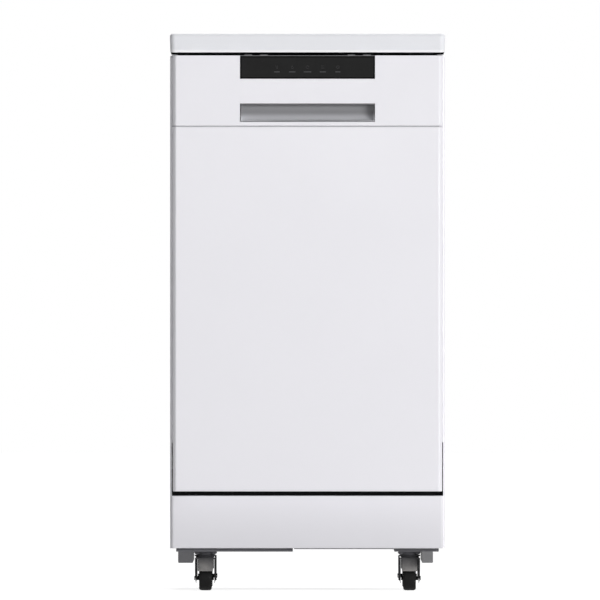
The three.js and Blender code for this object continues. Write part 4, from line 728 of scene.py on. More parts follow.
# The grey hem along the top edge is a painted highlight.
bm = bmesh.new()
rounded_box(bm, (low.x, high.x), (low.y + 0.1, low.y + 3), (high.z - HIGHLIGHT_HEM - 0.1, high.z), 0.5, 0, 3)
piece("window_hem_highlight", bm, "door", HEM_GREY_AND_HIGHLIGHT, ["display_window"])

# %% [markdown]
# Thin marks are easiest as curves: a few points and a round section. The same function later makes the
# heater, the seal's lips, the springs and the wires of the racks. A point may carry its own radius,
# which is how a wire gets a tapered tip.

# %% Curves as pieces
def curve_piece(name, strokes, body, look, stands_for=(), sides=2):
    """A piece from round strokes: points in millimetres, each with its own radius if it has one."""
    data = bpy.data.curves.new(name, "CURVE")
    data.dimensions, data.bevel_depth, data.bevel_resolution = "3D", MM, sides
    data.use_fill_caps = True
    for line in strokes:
        spline = data.splines.new("POLY")
        spline.points.add(len(line["points"]) - 1)
        for target, source in zip(spline.points, line["points"]):
            target.co = (*[c * MM for c in source[:3]], 1)
            target.radius = source[3] if len(source) > 3 else line["width"] / 2
        spline.use_cyclic_u = line["closed"]
        spline.use_smooth = True
    obj = bpy.data.objects.new(name, data)
    scene.collection.objects.link(obj)
    dress(obj, body, look, stands_for)
    print(f"{name}: {len(strokes)} strokes, rides {body}")


def open_line(points, width):
    """A stroke of even width from its first point to its last."""
    return {"points": points, "closed": False, "width": width}


def ring(cx, cz, radius, start=0, end=360, count=18):
    """Points of a circle or an arc, in its own plane. Angles are in degrees."""
    return [(cx + radius * math.cos(math.radians(start + (end - start) * i / count)),
             cz + radius * math.sin(math.radians(start + (end - start) * i / count)))
            for i in range(count + 1)]


print("curves ready")

# %% [markdown]
# The pictograms under the glass are faint: a tumbler, a drop, a turning arrow, three levels and a
# clock. Each is a short line drawing, with a plain bar below it. The lines run along the face of the
# pane and stand out of it by half their width, and the bars are rounded slabs that just break it.

# %% Pictograms and bars
PANE = low.y + STEP_BACK
ICON_LINE, BAR_LINE = 855.4, 847.6
SIGNS = (                       # place, half length of the bar, and the strokes around the sign's middle
    (-50, 4.6, [[(-1.5, 2.6), (-0.9, -2.4), (0.9, -2.4), (1.5, 2.6)]]),                 # tumbler
    (-25, 5.4, [ring(0, -0.9, 1.6, 120, 420), [(-0.8, 0.5), (0, 2.8), (0.8, 0.5)]]),    # drop
    (0, 6.2, [ring(0, 0, 2.3, 40, 320), [(0.4, 0.8), (1.8, 1.6), (2.4, 0.2)]]),         # turning arrow
    (25, 5.0, [[(-2.4, height), (2.4, height)] for height in (2.2, 0, -2.2)]),          # three levels
    (49.5, 4.2, [ring(0, 0, 2.4), [(0, 1.5), (0, 0), (1.2, -0.5)]]))                    # clock


def mark(middle, points):
    """A fine line on the pane. It is closed if its two ends meet."""
    closed = math.dist(points[0], points[-1]) < NEAR
    points = points[:-1] if closed else points
    return {"points": [(middle + x, PANE, ICON_LINE + z) for x, z in points], "closed": closed,
            "width": 0.34}


marks = [mark(middle, points) for middle, _, strokes in SIGNS for points in strokes]
curve_piece("window_pictograms", marks, "door", PRINT)
bm = bmesh.new()
for x, half, _ in SIGNS:
    rounded_box(bm, (x - half, x + half), (PANE - 0.06, PANE + 0.2), (BAR_LINE - 0.7, BAR_LINE + 0.7),
                0.4, 1, 3)
piece("window_bars", bm, "door", PRINT)

# %% [markdown]
# Four push buttons stand in the holes along the top edge, and only their tips show. Each is a cap with
# round corners on a wider foot, which keeps it from falling out of its hole.

# %% Buttons
for i in range(1, 5):
    low, high = limits_of(f"button_{i}")
    bm = bmesh.new()
    rounded_box(bm, (low.x + 1.2, high.x - 1.2), (low.y + 1.2, high.y - 1.2), (low.z + 1, high.z),
                1.6, 2, 4, 0.6, 3)
    box(bm, (low.x, high.x), (low.y, high.y), (low.z, low.z + 3.6))
    piece(f"button_cap_{i}", bm, f"button_{i}", BUTTON_GREY, [f"button_{i}"], weld=False)

# %% [markdown]
# ## Grip
# Behind the slot lies a nearly white moulded scoop, greyed by painted shade that deepens towards the
# roof of the slot. Its floor bends up into the back wall in one wide sweep, and a hollow above takes the
# fingertips. The section is filled and pushed along its length, the face in the slot is taken away, and
# the edges at both ends are rounded. The sweep comes from a formula, a curve of the second degree
# between the floor and the back.

# %% Handle pocket
def sweep(start, bend, finish_point, steps=8):
    """Points of a curve that leaves start and reaches finish_point, drawn towards the bend."""
    shares = [i / steps for i in range(steps + 1)]
    return [tuple(a * (1 - t) ** 2 + 2 * b * t * (1 - t) + c * t ** 2
                  for a, b, c in zip(start, bend, finish_point)) for t in shares]


FLOOR, BACK, ROOF, TOP, LIP = 768.4, -275.4, 794.1, 804.8, -294.1
low, high = limits_of("handle_pocket")
section = [(low.y, FLOOR)] + sweep((-296.2, FLOOR), (BACK - 1, FLOOR + 2), (BACK, FLOOR + 27))
section += [(BACK, TOP), (LIP, TOP), (LIP, ROOF), (low.y, ROOF)]
bm = bmesh.new()
plate(bm, section, 0, (low.x + 2, high.x - 2))
bmesh.ops.recalc_face_normals(bm, faces=bm.faces[:])
drop_faces(bm, lambda c, n: abs(c.y - low.y) < 0.05 and n.y < -0.9)
ends = [e for e in rims_across(bm, 0)
        if all(v.co.z / MM < TOP - 2 and v.co.y / MM > LIP for v in e.verts)]
bevel(bm, ends, 3, 4)
piece("grip_scoop", bm, "door", GRIP_PAINTED_SHADE, ["handle_pocket"], wall=-1.6,
      outward=(0, 1, 0))

# %% [markdown]
# ## Toe panel
# The panel under the door is a shallow enamelled tray. It leans back a little and its foot is rounded,
# so it darkens evenly towards the floor, and its enamel is a darker copy with painted shade that deepens
# the same way. Its front wall is cut in bands that are drawn back in turn, and two more cuts let both
# ends slope back gently, which shows as a pale strip at each side. A satin hem behind its foot shows as
# a thin grey line between the casters.

# %% Toe panel
LEAN, END_SLOPE, SLOPE_START = 4.0, 0.3, 216.5
BANDS, BAND_HEIGHT = 8, 10
low, high = limits_of("toe_panel")
bm = tray(low, Vector((high.x, -240, high.z + 0.3)), 1.2, 1.2, fold=0.4)
for side in (-1, 1):
    slice_at(bm, 0, side * SLOPE_START, bm.faces[:])
for band in range(1, BANDS):
    slice_at(bm, 2, low.z + band * BAND_HEIGHT, bm.faces[:])
for v in bm.verts:
    depth = max(0.0, 1 - (v.co.z / MM - low.z) / (high.z - low.z))
    if v.co.y / MM < -250:
        v.co.y += (LEAN * depth ** 2 + END_SLOPE * max(0.0, abs(v.co.x / MM) - SLOPE_START)) * MM
piece("toe_tray", bm, "cabinet", TOE_ENAMEL_SHADED, ["toe_panel"], wall=2.2)
bm = bmesh.new()
rounded_box(bm, (-22, 213), (low.y + 6, low.y + 16), (low.z - 1.4, low.z + 0.6), 0.5, 0, 2)
piece("toe_hem", bm, "cabinet", HEM_GREY_AND_HIGHLIGHT, ["toe_panel"])

# %% [markdown]
# ## Base rails
# Dark painted plates carry the casters, and a closed box section runs beside each pair. They are cut
# and folded steel, so they stay crisp: the plate has only a broken edge, and the section small rounds.

# %% Base rails
PLATE_FOOT, TUBE_TOP = 63.75, 64.2
# The left section gets the darker copy of its steel, painted shade, and the right one the lighter copy, painted
# light.
for hand, tube, look in (("left", (-211.5, -187), TUBE_STEEL_SHADED), ("right", (187, 205.2), TUBE_STEEL_LIT)):
    low, high = limits_of(f"base_rail_{hand}")
    bm = bmesh.new()
    rounded_box(bm, (low.x, high.x), (low.y, high.y), (PLATE_FOOT, high.z), 1.5, 2, 3, 0.5, 2)
    piece(f"base_plate_{hand}", bm, "cabinet", BASE_STEEL, [f"base_rail_{hand}"], weld=False)
    bm = bmesh.new()
    rounded_box(bm, tube, (low.y, high.y), (low.z - 0.6, TUBE_TOP), 1.6, 1, 4, 0.3, 2)
    piece(f"base_tube_{hand}", bm, "cabinet", look, [f"base_rail_{hand}"], weld=False)

# %% [markdown]
# ## Casters
# A caster is a plate with a ball race, a pressed fork that swivels under it, and a wheel on a bolt.
# The round parts are spun from their sections. The fork is built from plates, a crown, an apron and
# two legs, which leaves the wheel's space free. The legs are pinched at the bolt, as pressed ones are.

# %% Mount and fork
CROWN = 54                              # height of the fork's crown
APRON_HALF, APRON_FOOT, APRON_FRONT, APRON_TOP = 12.6, 31.4, -9.3, 53.4
APRON_TAPER = 0.10 / 22                 # share of its width that the apron loses per millimetre


def caster_mount(bm, x, y):
    """The plate with its ball race and four hexagon screws."""
    rounded_box(bm, (x - 18.5, x + 18.5), (y - 21, y + 21), (62.1, 63.7), 4, 2, 4, 0.4, 2)
    turned(bm, [(0, 63.0), (18.9, 63.0), (18.9, 62.2), (17.2, 61.4), (15.6, 60.6), (15.2, 59.6),
                (15.0, 58.8), (0, 58.8)], (x, y), 40)
    for dx in (-13.5, 13.5):
        for dy in (-16.5, 16.5):
            turned(bm, [(0, 59.6), (3.2, 59.6), (3.6, 60.0), (3.6, 62.2), (0, 62.2)], (x + dx, y + dy), 6)


def caster_fork(bm, x, y):
    """The second race, the crown and the apron in front of the wheel."""
    turned(bm, [(0, 58.6), (16.6, 58.6), (17.6, 58.2), (17.9, 57.5), (17.5, 56.8), (16.2, 56.0),
                (14.6, 55.2), (13.6, 54.4), (13.4, 53.9), (0, 53.9)], (x, y), 40)
    rounded_box(bm, (x - 16.4, x + 16.4), (y - 9.2, y + 9.2), (51.6, CROWN), 2.2, 1, 5)
    front = y + APRON_FRONT
    apron = rounded_box(bm, (x - APRON_HALF, x + APRON_HALF), (front, front + 2.2),
                        (APRON_FOOT, APRON_TOP), 1.4, 1, 3, 0.8, 3)
    for v in apron:
        if v.is_valid:
            v.co.x += (x - v.co.x / MM) * APRON_TAPER * (APRON_TOP - v.co.z / MM) * MM


print("mount and fork ready")

# %% [markdown]
# The wheel trails behind the swivel, so that the caster turns by itself. Its tread has round shoulders
# and is hollowed beside the hub. The bolt's head and nut are spun in six steps, which makes a hexagon.

# %% Legs and wheel
TRAIL, WHEEL = 13, 20                   # the bolt lies this far behind the swivel, at this height


def caster_legs(bm, x, y):
    """The two legs, pinched at the bolt."""
    leg = [(y - 8.4, 53.6), (y + 9.2, 53.6), (y + 9.4, 45.6), (y + TRAIL + 6.6, 29), (y + TRAIL + 7.2, 20),
           (y + TRAIL + 2.2, 11.9), (y + TRAIL - 2.2, 11.9), (y + TRAIL - 7.4, 20.5), (y - 8.4, 33)]
    for side in (-1, 1):
        made = plate(bm, leg, 0, sorted((x + side * 14.5, x + side * 17.1)))
        for v in made:
            if v.co.z < 13 * MM:
                v.co.x -= side * (1.3 if abs(v.co.x / MM - x) > 15 else -0.2) * MM
        bevel(bm, edges_of(made, lambda a, b: abs(a.x - b.x) > 1.0), 1.8, 3)


def caster_wheel(bm, x, y):
    """The tread on its hub, the bolt, its head and its nut."""
    half = [(11.5, 6.5), (12.5, 9.3), (14.8, 10.3), (17.0, 10.4), (18.9, 9.3), (19.8, 7.2), (20, 4.5)]
    tread = [(0, -6.5)] + [(r, -w) for r, w in half] + half[::-1] + [(0, 6.5)]
    centre = (y + TRAIL, WHEEL)
    turned(bm, tread, centre, 48, axis=0)
    turned(bm, [(0, -13.9), (3.3, -13.9), (3.3, 13.9), (0, 13.9)], centre, 20, axis=0)
    turned(bm, [(0, -18.4), (3.0, -18.4), (3.7, -18.0), (3.7, -17.0), (0, -17.0)], centre, 6, axis=0)
    turned(bm, [(0, 17.0), (3.7, 17.0), (3.7, 18.0), (3.0, 18.4), (0, 18.4)], centre, 6, axis=0)
    bmesh.ops.translate(bm, vec=(x * MM, 0, 0), verts=bm.verts[:])


# The fork's apron pales towards its foot by painted light, and the legs get a darker copy of its steel, painted
# shade.
CASTER_PARTS = ((caster_mount, "mount", "cabinet", "zinc_steel", BASE_STEEL, "mount"),
                (caster_fork, "fork", "swivel_", "dark_steel", FORK_STEEL_DUST_AND_LIGHT, "fork"),
                (caster_legs, "legs", "swivel_", "dark_steel", LEG_STEEL_SHADED, "fork"),
                (caster_wheel, "wheel", "wheel_", "black_rubber", RUBBER, "wheel"))
for end, y in (("front", -215), ("rear", 215)):
    for side, hand in SIDES:
        at = f"{end}_{hand}"
        for build, name, body, slot, look, node in CASTER_PARTS:
            bm = bmesh.new()
            build(bm, side * 167, y)
            piece(f"{name}_{at}", bm, body + at if body.endswith("_") else body, look,
                  [f"caster_{node}_{at}"], weld=False)

# %% [markdown]
# ## Shapes from outlines
# Pressed and moulded panels are stacks of outlines: a rim, a fold, a raised field. Each outline is a
# rounded rectangle with the same number of points. The edges of one are extruded, and the copy is moved
# onto the next. That gives clean strips of faces, which never twist, and which a boolean cut would not.

# %% Outlines
def spread(start, end, count):
    """Evenly spaced numbers from start to end, both included."""
    return [start + (end - start) * i / (count - 1) for i in range(count)]


def outline(x, z, radius, y, inset=0, steps=6):
    """A rounded rectangle across the Y axis, as points in millimetres."""
    x, z, radius = (x[0] + inset, x[1] - inset), (z[0] + inset, z[1] - inset), max(0.3, radius - inset)
    corners = ((x[1], z[1], 0), (x[0], z[1], 90), (x[0], z[0], 180), (x[1], z[0], 270))
    points = []
    for cx, cz, start in corners:
        cx -= math.copysign(radius, cx - sum(x) / 2)
        cz -= math.copysign(radius, cz - sum(z) / 2)
        points += [(px, y, pz) for px, pz in ring(cx, cz, radius, start, start + 90, steps)]
    return points


def rims(shape, *levels):
    """Outlines of one rounded rectangle at several levels: pairs of a place in Y and an inset."""
    return [outline(*shape, y, inset) for y, inset in levels]


def circle(centre, radius, z):
    """A level circle, as points in millimetres."""
    return [(x, y, z) for x, y in ring(*centre, radius, count=48)[:-1]]


def lofted(bm, outlines, close_first=False, close_last=True):
    """Draws the first outline, and extrudes it onto each of the next ones."""
    loop = [bm.verts.new(Vector(p) * MM) for p in outlines[0]]
    edges = [bm.edges.new(pair) for pair in zip(loop, loop[1:] + loop[:1])]
    if close_first:
        bm.faces.new(loop)
    for points in outlines[1:]:
        made = bmesh.ops.extrude_edge_only(bm, edges=edges)["geom"]
        fresh = {v for v in made if isinstance(v, bmesh.types.BMVert)}
        loop = [next(e.other_vert(v) for e in v.link_edges if e.other_vert(v) in fresh) for v in loop]
        edges = [e for e in made if isinstance(e, bmesh.types.BMEdge) and all(v in fresh for v in e.verts)]
        for v, p in zip(loop, points):
            v.co = Vector(p) * MM
    if close_last:
        bm.faces.new(loop)


print("outlines ready")

# %% [markdown]
# ## Inside of the door
# The liner is a pressed stainless pan. Its fold, the flat frame and the raised field are seven outlines
# in turn. The openings for the dispenser and the latch are cut by planes, as in the fascia. Five low
# swages are pressed across the field, so that the large sheet doesn't drum.

# %% Door liner
PAN, FIELD = ((-211.5, 211.5), (205, 872), 14), ((-177.5, 177.5), (245, 820), 20)
SWAGE_HALF, SWAGES = 9, (300, 365, 590, 655, 720)
bm = bmesh.new()
lofted(bm, rims(PAN, (-263.7, 0), (-247.6, 0), (-245.8, 0.7), (-245, 2.6))
       + rims(FIELD, (-245, 0), (-243.9, 1.2), (-242.6, 4.5)))
open_up(bm, (-88.3, 68.3), (-243.6, -241.6), (433.7, 518.3))
open_up(bm, (-11, 11), (-246, -244), (862.4, 870))
piece("liner_pan", bm, "door", STAINLESS, ["door_liner"], wall=SHEET, outward=(0, 1, 0))
bm = bmesh.new()
for height in SWAGES:
    stripe = ((-140, 140), (height - SWAGE_HALF, height + SWAGE_HALF), 8.9)
    lofted(bm, rims(stripe, (-242.7, 0), (-241.9, 2.6), (-241.6, 4.5)))
piece("liner_swages", bm, "door", STAINLESS, ["door_liner"], outward=(0, 1, 0))

# %% [markdown]
# The dispenser is one moulding: a flange on the liner, a box behind it and the open detergent cup. The
# outlines run from the closed back over the flange and down into the cup. A small dark dome beside it
# is the sight glass of the rinse aid tank.

# %% Dispenser
BOX, RIM, CUP = ((-88, 68), (434, 518), 7), ((-92, 72), (430, 522), 9), ((-82, -20), (444, 508), 8)
bm = bmesh.new()
lofted(bm, rims(BOX, (-261, 0), (-242.3, 0)) + rims(RIM, (-242.3, 0), (-240.5, 0), (-239.9, 0.5), (-239.6, 1.4))
       + rims(CUP, (-239.6, 0), (-240.0, 0.4), (-241.0, 0.7), (-251.0, 1.4), (-253.0, 3.0), (-253.6, 6.0)),
       close_first=True)
rounded_box(bm, (-13, -6), (-240, -238.3), (468, 484), 2, 1, 4, 0.5, 2)
piece("dispenser_moulding", bm, "door", GREY_FITTING, ["dispenser_body"], weld=False)
bm = bmesh.new()
turned(bm, [(0, -239.8), (4.6, -239.8), (5.2, -239.0), (4.4, -238.5), (2.4, -238.1), (0, -238.0)],
       (59, 502), 28, axis=1)
piece("rinse_sight_glass", bm, "door", DARK_WINDOW)

# %% [markdown]
# A spring lid covers the cup. It is a shallow dish with a raised rim, a round bar for its hinge and a
# small catch. The cap of the rinse aid tank is a disc with a bar across it, to be turned by hand.

# %% Lid and cap
LID, LID_HINGE, CAP = ((-86, -16), (438.6, 513), 4), (-236.8, 438), (32, 476)
bm = bmesh.new()
lofted(bm, rims(LID, (-239.2, 0), (-236.9, 0), (-236.1, 0.4), (-235.8, 1.1), (-235.8, 6.0), (-236.5, 7.2)),
       close_first=True)
turned(bm, [(0, -86), (2.0, -86), (2.4, -85.6), (2.4, -16.4), (2.0, -16), (0, -16)], LID_HINGE, 20, axis=0)
rounded_box(bm, (-63, -39), (-236.2, -232.8), (505, 509), 1.2, 0, 4, 0.6, 2)
piece("detergent_lid", bm, "dispenser_lid", LID_WHITE, ["dispenser_lid"], weld=False)
bm = bmesh.new()
turned(bm, [(0, -239.2), (16.3, -239.2), (17, -238.5), (17, -236.4), (16.6, -235.6), (15.6, -235.2),
            (12.5, -235.2), (11.6, -235.8), (0, -235.8)], CAP, 48, axis=1)
rounded_box(bm, (CAP[0] - 3, CAP[0] + 3), (-236.2, -230.2), (CAP[1] - 14.5, CAP[1] + 14.5), 2.6, 1, 4, 0.9, 3)
piece("rinse_cap_knob", bm, "rinse_aid_cap", BLACK_PLASTIC, ["rinse_aid_cap"], weld=False)

# %% [markdown]
# ## Wash chamber
# The tub is deep-drawn stainless sheet with large corner radii and a flange around its mouth. Outlines
# run from the edge of the flange inwards, over the mouth and along the walls to the back, where a
# pressed field stiffens the sheet. Planes cut the opening for the sump in its floor. Two ledges along
# the walls carry the wheels of the lower rack.

# %% Tub
FLANGE, MOUTH = ((-219, 219), (190.3, 862), 24), ((-202, 202), (198, 850), 22)
MOUTH_FRONT, TUB_BACK = -239.4, 229.6
bm = bmesh.new()
lofted(bm, rims(FLANGE, (MOUTH_FRONT, 0), (-240, 0.8))
       + rims(MOUTH, (-240, -2.5), (-239.2, -0.6), (-237.5, 0), (222, 0), (227.5, 2.4), (230, 8), (230, 52),
              (231.6, 55)))
open_up(bm, (-64, 64), (-104, 24), (197, 199))
open_up(bm, (-33, 33), (-118, 38), (197, 199))
piece("tub_shell", bm, "cabinet", STAINLESS, ["tub"], wall=-1.5, outward=(0, 1, 0))
bm = bmesh.new()
ledge = [(202.4, 232), (192, 232), (191.2, 231.6), (191, 230.8), (191, 229), (191.4, 228.2), (202.4, 217.5)]
for side in (-1, 1):
    plate(bm, [(side * x, z) for x, z in ledge], 1, (MOUTH_FRONT, TUB_BACK))
piece("tub_ledges", bm, "cabinet", STAINLESS, ["tub"])

# %% [markdown]
# The door seal is an extruded rubber profile with two lips, laid round the mouth and open at the foot.
# The base strip is a filled outline, and the lips are curves along the same bend.

# %% Door seal
SEAL_FOOT = 266


def arch(half, top, corner):
    """An arch with round shoulders, as points from its right foot over the top to its left foot."""
    right = ring(half - corner, top - corner, corner, 0, 90, 8)
    return [(half, SEAL_FOOT)] + right + [(-x, z) for x, z in reversed(right)] + [(-half, SEAL_FOOT)]


bm = bmesh.new()
plate(bm, arch(211, 859, 29) + arch(204, 852, 22)[::-1], 1, (-242.2, -240.3))
piece("seal_strip", bm, "cabinet", RUBBER, ["door_seal"])
lips = [open_line([(x, -243.2, z) for x, z in arch(half, top, corner)], 2.8)
        for half, top, corner in ((209.4, 857.4, 27.4), (205.6, 853.6, 23.6))]
curve_piece("seal_lips", lips, "cabinet", RUBBER, ["door_seal"])

# %% [markdown]
# The floor of the chamber holds the filter. Its plate is a disc drawn in to the hole of its cup, which
# lies off centre, and its pattern of fine holes is in the finish. The cup is a thin spun basket with a
# handle across its mouth.

# %% Filter
FILTER = (0, -80)
bm = bmesh.new()
lofted(bm, [circle(FILTER, 32.2, 201.2), circle((0, -40), 92, 201.2), circle((0, -40), 92, 202.2),
            circle((0, -40), 91.4, 202.6), circle(FILTER, 32.2, 202.6), circle(FILTER, 32.2, 201.2)],
       close_last=False)
piece("filter_disc", bm, "cabinet", FILTER_STEEL, ["filter_plate"])
bm = bmesh.new()
turned(bm, [(0, 135.2), (23.6, 135.2), (25, 136.2), (30.8, 200), (31.2, 202.9), (34.4, 202.9), (35, 203.4),
            (35, 204.2), (34.4, 204.8), (30.2, 204.8), (29.5, 204), (23.6, 137.6), (22.4, 136.8), (0, 136.8)],
       FILTER, 40)
turned(bm, [(0, 136), (7, 136), (7, 187), (5.5, 188.6), (0, 188.8)], FILTER, 24)
rounded_box(bm, (-30.4, 30.4), (-82.5, -77.5), (199.4, 204.8), 1.2, 0, 3)
rounded_box(bm, (-4, 4), (-82.4, -77.6), (187, 203), 1, 2, 3)
piece("filter_basket", bm, "cabinet", FILTER_PLASTIC, ["filter_cup"], weld=False)

# %% [markdown]
# The heater is a single bent tube that runs almost once round the floor and dives through it at both
# ends. Hexagon nuts hold the ends, and three small feet keep the ring off the steel.

# %% Heater
RING_RADIUS, RING_Y, RING_Z = 140, -8, 202.4


def on_ring(degrees):
    """A place on the heater's ring, counted from its back."""
    angle = math.radians(degrees)
    return RING_RADIUS * math.sin(angle), RING_Y + RING_RADIUS * math.cos(angle)


circuit = [on_ring(degrees) for degrees in spread(10, 350, 64)]
first, last = circuit[0], circuit[-1]
tube = [(*first, z) for z in (172, 192, 198)] + [(*place, RING_Z) for place in circuit[1:-1]]
tube += [(*last, z) for z in (198, 192, 172)]
curve_piece("heater_tube", [open_line(tube, 6.8)], "cabinet", ZINC, ["heater"], sides=4)
bm = bmesh.new()
for end in (first, last):
    turned(bm, [(0, 194), (6.4, 194), (6.4, 200.2), (5.4, 200.8), (0, 200.8)], end, 6)
for x, y in map(on_ring, (60, 180, 300)):
    rounded_box(bm, (x - 3, x + 3), (y - 5.4, y + 5.4), (198.1, 204), 1.2, 2, 3, 0.4, 2)
piece("heater_holders", bm, "cabinet", STAINLESS, ["heater"], weld=False)

# %% [markdown]
# The float is a hollow dome on a stem. If water stands too high, it rises and stops the inlet. Six thin
# ribs run down its skirt.

# %% Float
FLOAT = (-150, -195)
bm = bmesh.new()
turned(bm, [(0, 186), (3, 186), (3, 198.3), (11.6, 198.3), (12.1, 199), (12.9, 210.5), (12.5, 213.6),
            (11.2, 216.4), (8.6, 218.4), (5, 219.2), (0, 219.3)], FLOAT, 40)
for x, y in ring(*FLOAT, 12.3, count=6)[:-1]:
    rounded_box(bm, (x - 0.9, x + 0.9), (y - 0.9, y + 0.9), (198.4, 209), 0.5, 2, 2)
piece("float_cap", bm, "float", GREY_FITTING, ["float_dome"], weld=False)

# %% [markdown]
# ## Spray arms
# Each arm is a flat hollow blade with a swept outline, so that the jets turn it. The outline of one
# half is written as four curves, and the other half is the same turned round. The rim gets a wide soft
# round. The jets are small domes, each with a dark slot, and the hub is spun.

# %% Spray arms
JET_SHARES = (0.3, 0.42, 0.56, 0.7, 0.82, 0.92)         # places of the jets along the arm's reach


def blade(bm, reach, z, bow):
    """A flat arm, swept by the bow and as long to each side as the reach."""
    half = sweep((-15, 0), (-15 - bow, reach * 0.55), (-9 + bow * 0.4, reach - 8), 12)
    half += sweep(half[-1], (-6 + bow * 0.4, reach), (2 + bow * 0.4, reach), 4)[1:]
    half += sweep(half[-1], (10 + bow * 0.4, reach), (10 + bow * 0.3, reach - 9), 4)[1:]
    half += sweep(half[-1], (15 - bow * 0.4, reach * 0.5), (15, 0), 12)[1:-1]
    plate(bm, half + [(-x, -y) for x, y in half], 2, (z + 1, z + 12))
    bmesh.ops.recalc_face_normals(bm, faces=bm.faces[:])
    bevel(bm, rims_across(bm, 2), 3.4, 5)


def jets(bm, slots_bm, reach, z, bow):
    """Domes along the bow, in turn left and right of its middle, and a slot in each."""
    dome = [(0, 10), (3.4, 10), (3.4, 12.6), (2.7, 13.6), (1.4, 14.2), (0, 14.4)]
    for i, share in enumerate(JET_SHARES):
        for way in (-1, 1):
            x = way * (-bow * (0.55 - abs(share - 0.5)) * 0.9 + (2.2 if i % 2 else -2.2))
            y = way * share * reach
            turned(bm, [(r, z + h) for r, h in dome], (x, y), 16)
            rounded_box(slots_bm, (x - 0.45, x + 0.45), (y - 1.9, y + 1.9), (z + 13, z + 14.55), 0.3, 2, 2)


LOWER_HUB = [(0, 212), (20, 212), (20, 224.6), (19.4, 225.6), (18, 226), (16.4, 226), (16, 226.4), (16, 228),
             (15, 229), (6, 229), (5, 228.4), (0, 228.4)]
UPPER_HUB = [(0, 559.2), (19.2, 559.2), (20, 560), (20, 572), (19.2, 573.2), (0, 573.2)]
for name, reach, z, bow, hub in (("lower", 178, 213, 9, LOWER_HUB), ("upper", 150, 560.2, -8, UPPER_HUB)):
    bm, slots_bm = bmesh.new(), bmesh.new()
    blade(bm, reach, z, bow)
    jets(bm, slots_bm, reach, z, bow)
    turned(bm, hub, (0, 0), 40)
    piece(f"{name}_spray_blade", bm, f"{name}_arm", ARM_GREY, [f"{name}_spray_arm"],
          weld=False)
    piece(f"{name}_spray_slots", slots_bm, f"{name}_arm", BLACK_PLASTIC, weld=False)

# %% [markdown]
# ## Water pipes
# A riser brings the water up the back wall to the upper arm. It is a round tube, so it is drawn as a
# curve through its corner points, and the corners are rounded as a bending tool does. Clips and collars
# are spun and boxed around it. The pipe of the upper rack plugs onto its end when the rack is pushed in.

# %% Water pipes
PIPE = (0, 585.2)               # axis of the level pipe, across Y


def bent(points, radius=10, closed=False):
    """Rounds the corners of a path of points, as a bending tool does."""
    path = [Vector(p) for p in points]
    out = []
    for i, corner in enumerate(path):
        if not closed and i in (0, len(path) - 1):
            out.append(tuple(corner))
            continue
        before, after = path[i - 1] - corner, path[(i + 1) % len(path)] - corner
        start = corner + before.normalized() * min(radius, before.length / 2)
        end = corner + after.normalized() * min(radius, after.length / 2)
        out += sweep(start, corner, end, 6)
    return out


def wire(points, width, radius=10, closed=False):
    """A stroke with rounded corners."""
    return {"points": bent(points, radius, closed=closed), "closed": closed, "width": width}


riser = [(0, 200, 174), (0, 200, 220), (0, 214, 242), (0, 214, 567), (0, 208, 580), (0, 196, PIPE[1]),
         (0, 179.4, PIPE[1])]
curve_piece("riser_tube", [wire(riser, 18, 12)], "cabinet", GREY_FITTING, ["feed_pipe"],
            sides=6)
bm = bmesh.new()
rounded_box(bm, (-16, 16), (213, 229.7), (408, 432), 5, 1, 5, 0.8, 2)
turned(bm, [(8, 184.6), (10.6, 184.6), (11, 184), (11, 180), (10.6, 179.4), (8, 179.4), (8, 184.6)],
       PIPE, 32, axis=1)
for z in (260, 340, 500):
    turned(bm, [(8.6, z), (10, z + 0.4), (10, z + 3.6), (8.6, z + 4), (8.6, z)], (0, 214), 32)
piece("riser_clip", bm, "cabinet", GREY_FITTING, ["feed_pipe"], weld=False)
bm = bmesh.new()
turned(bm, [(0, -26), (7.2, -26), (8, -25.2), (8, 168), (10.4, 172), (10.4, 178.4), (9.8, 179), (0, 179)],
       PIPE, 32, axis=1)
for section in ([(0, 574.2), (11.2, 574.2), (12, 575), (12, 588), (11, 591), (8, 593), (0, 593.6)],
                [(0, 556.2), (10.4, 556.2), (11, 556.8), (11, 558), (10.4, 558.6), (6, 558.6), (6, 575),
                 (0, 575)]):
    turned(bm, section, (0, 0), 40)
rounded_box(bm, (-5, 5), (52, 66), (584, 595.1), 1.4, 2, 3, 0.4, 2)
piece("upper_feed_pipe", bm, "upper_rack", GREY_FITTING, ["upper_arm_feed"], weld=False)

# %% [markdown]
# ## Wire racks
# A rack is drawn steel wire: U-shaped bows across, runs along, and loops round the rim, all welded
# where they cross and then dipped in nylon. Curves with a round section are the natural way to make
# them. Each wire is written as its few corner points, and the corners are rounded as in the bending
# tool. Thinner wires fill the spaces, and the coating tapers to a soft tip on every tine.

# %% Rack wires
RACK_WIRE, RIM_WIRE, FILL_WIRE = 3.4, 4.6, 2.6
STEP, RACK_BACK = 2.8, 194              # the runs lie this far under the bows, and end at this place
RUNS = spread(-158, 158, 5)


def with_fill(places):
    """Each place with a full wire, and then the middle of each space with a thin one."""
    middles = [(a + b) / 2 for a, b in zip(places, places[1:])]
    return [(place, RACK_WIRE) for place in places] + [(place, FILL_WIRE) for place in middles]


def tine(x, y, z, height, lean):
    """An upright wire whose tip tapers and leans back."""
    steps = ((0.0, 1), (height - 1.4, 1), (height - 0.6, 0.8), (height - 0.1, 0.35))
    return open_line([(x, y + lean * h / height, z + h, FILL_WIRE / 2 * share) for h, share in steps],
                     FILL_WIRE)


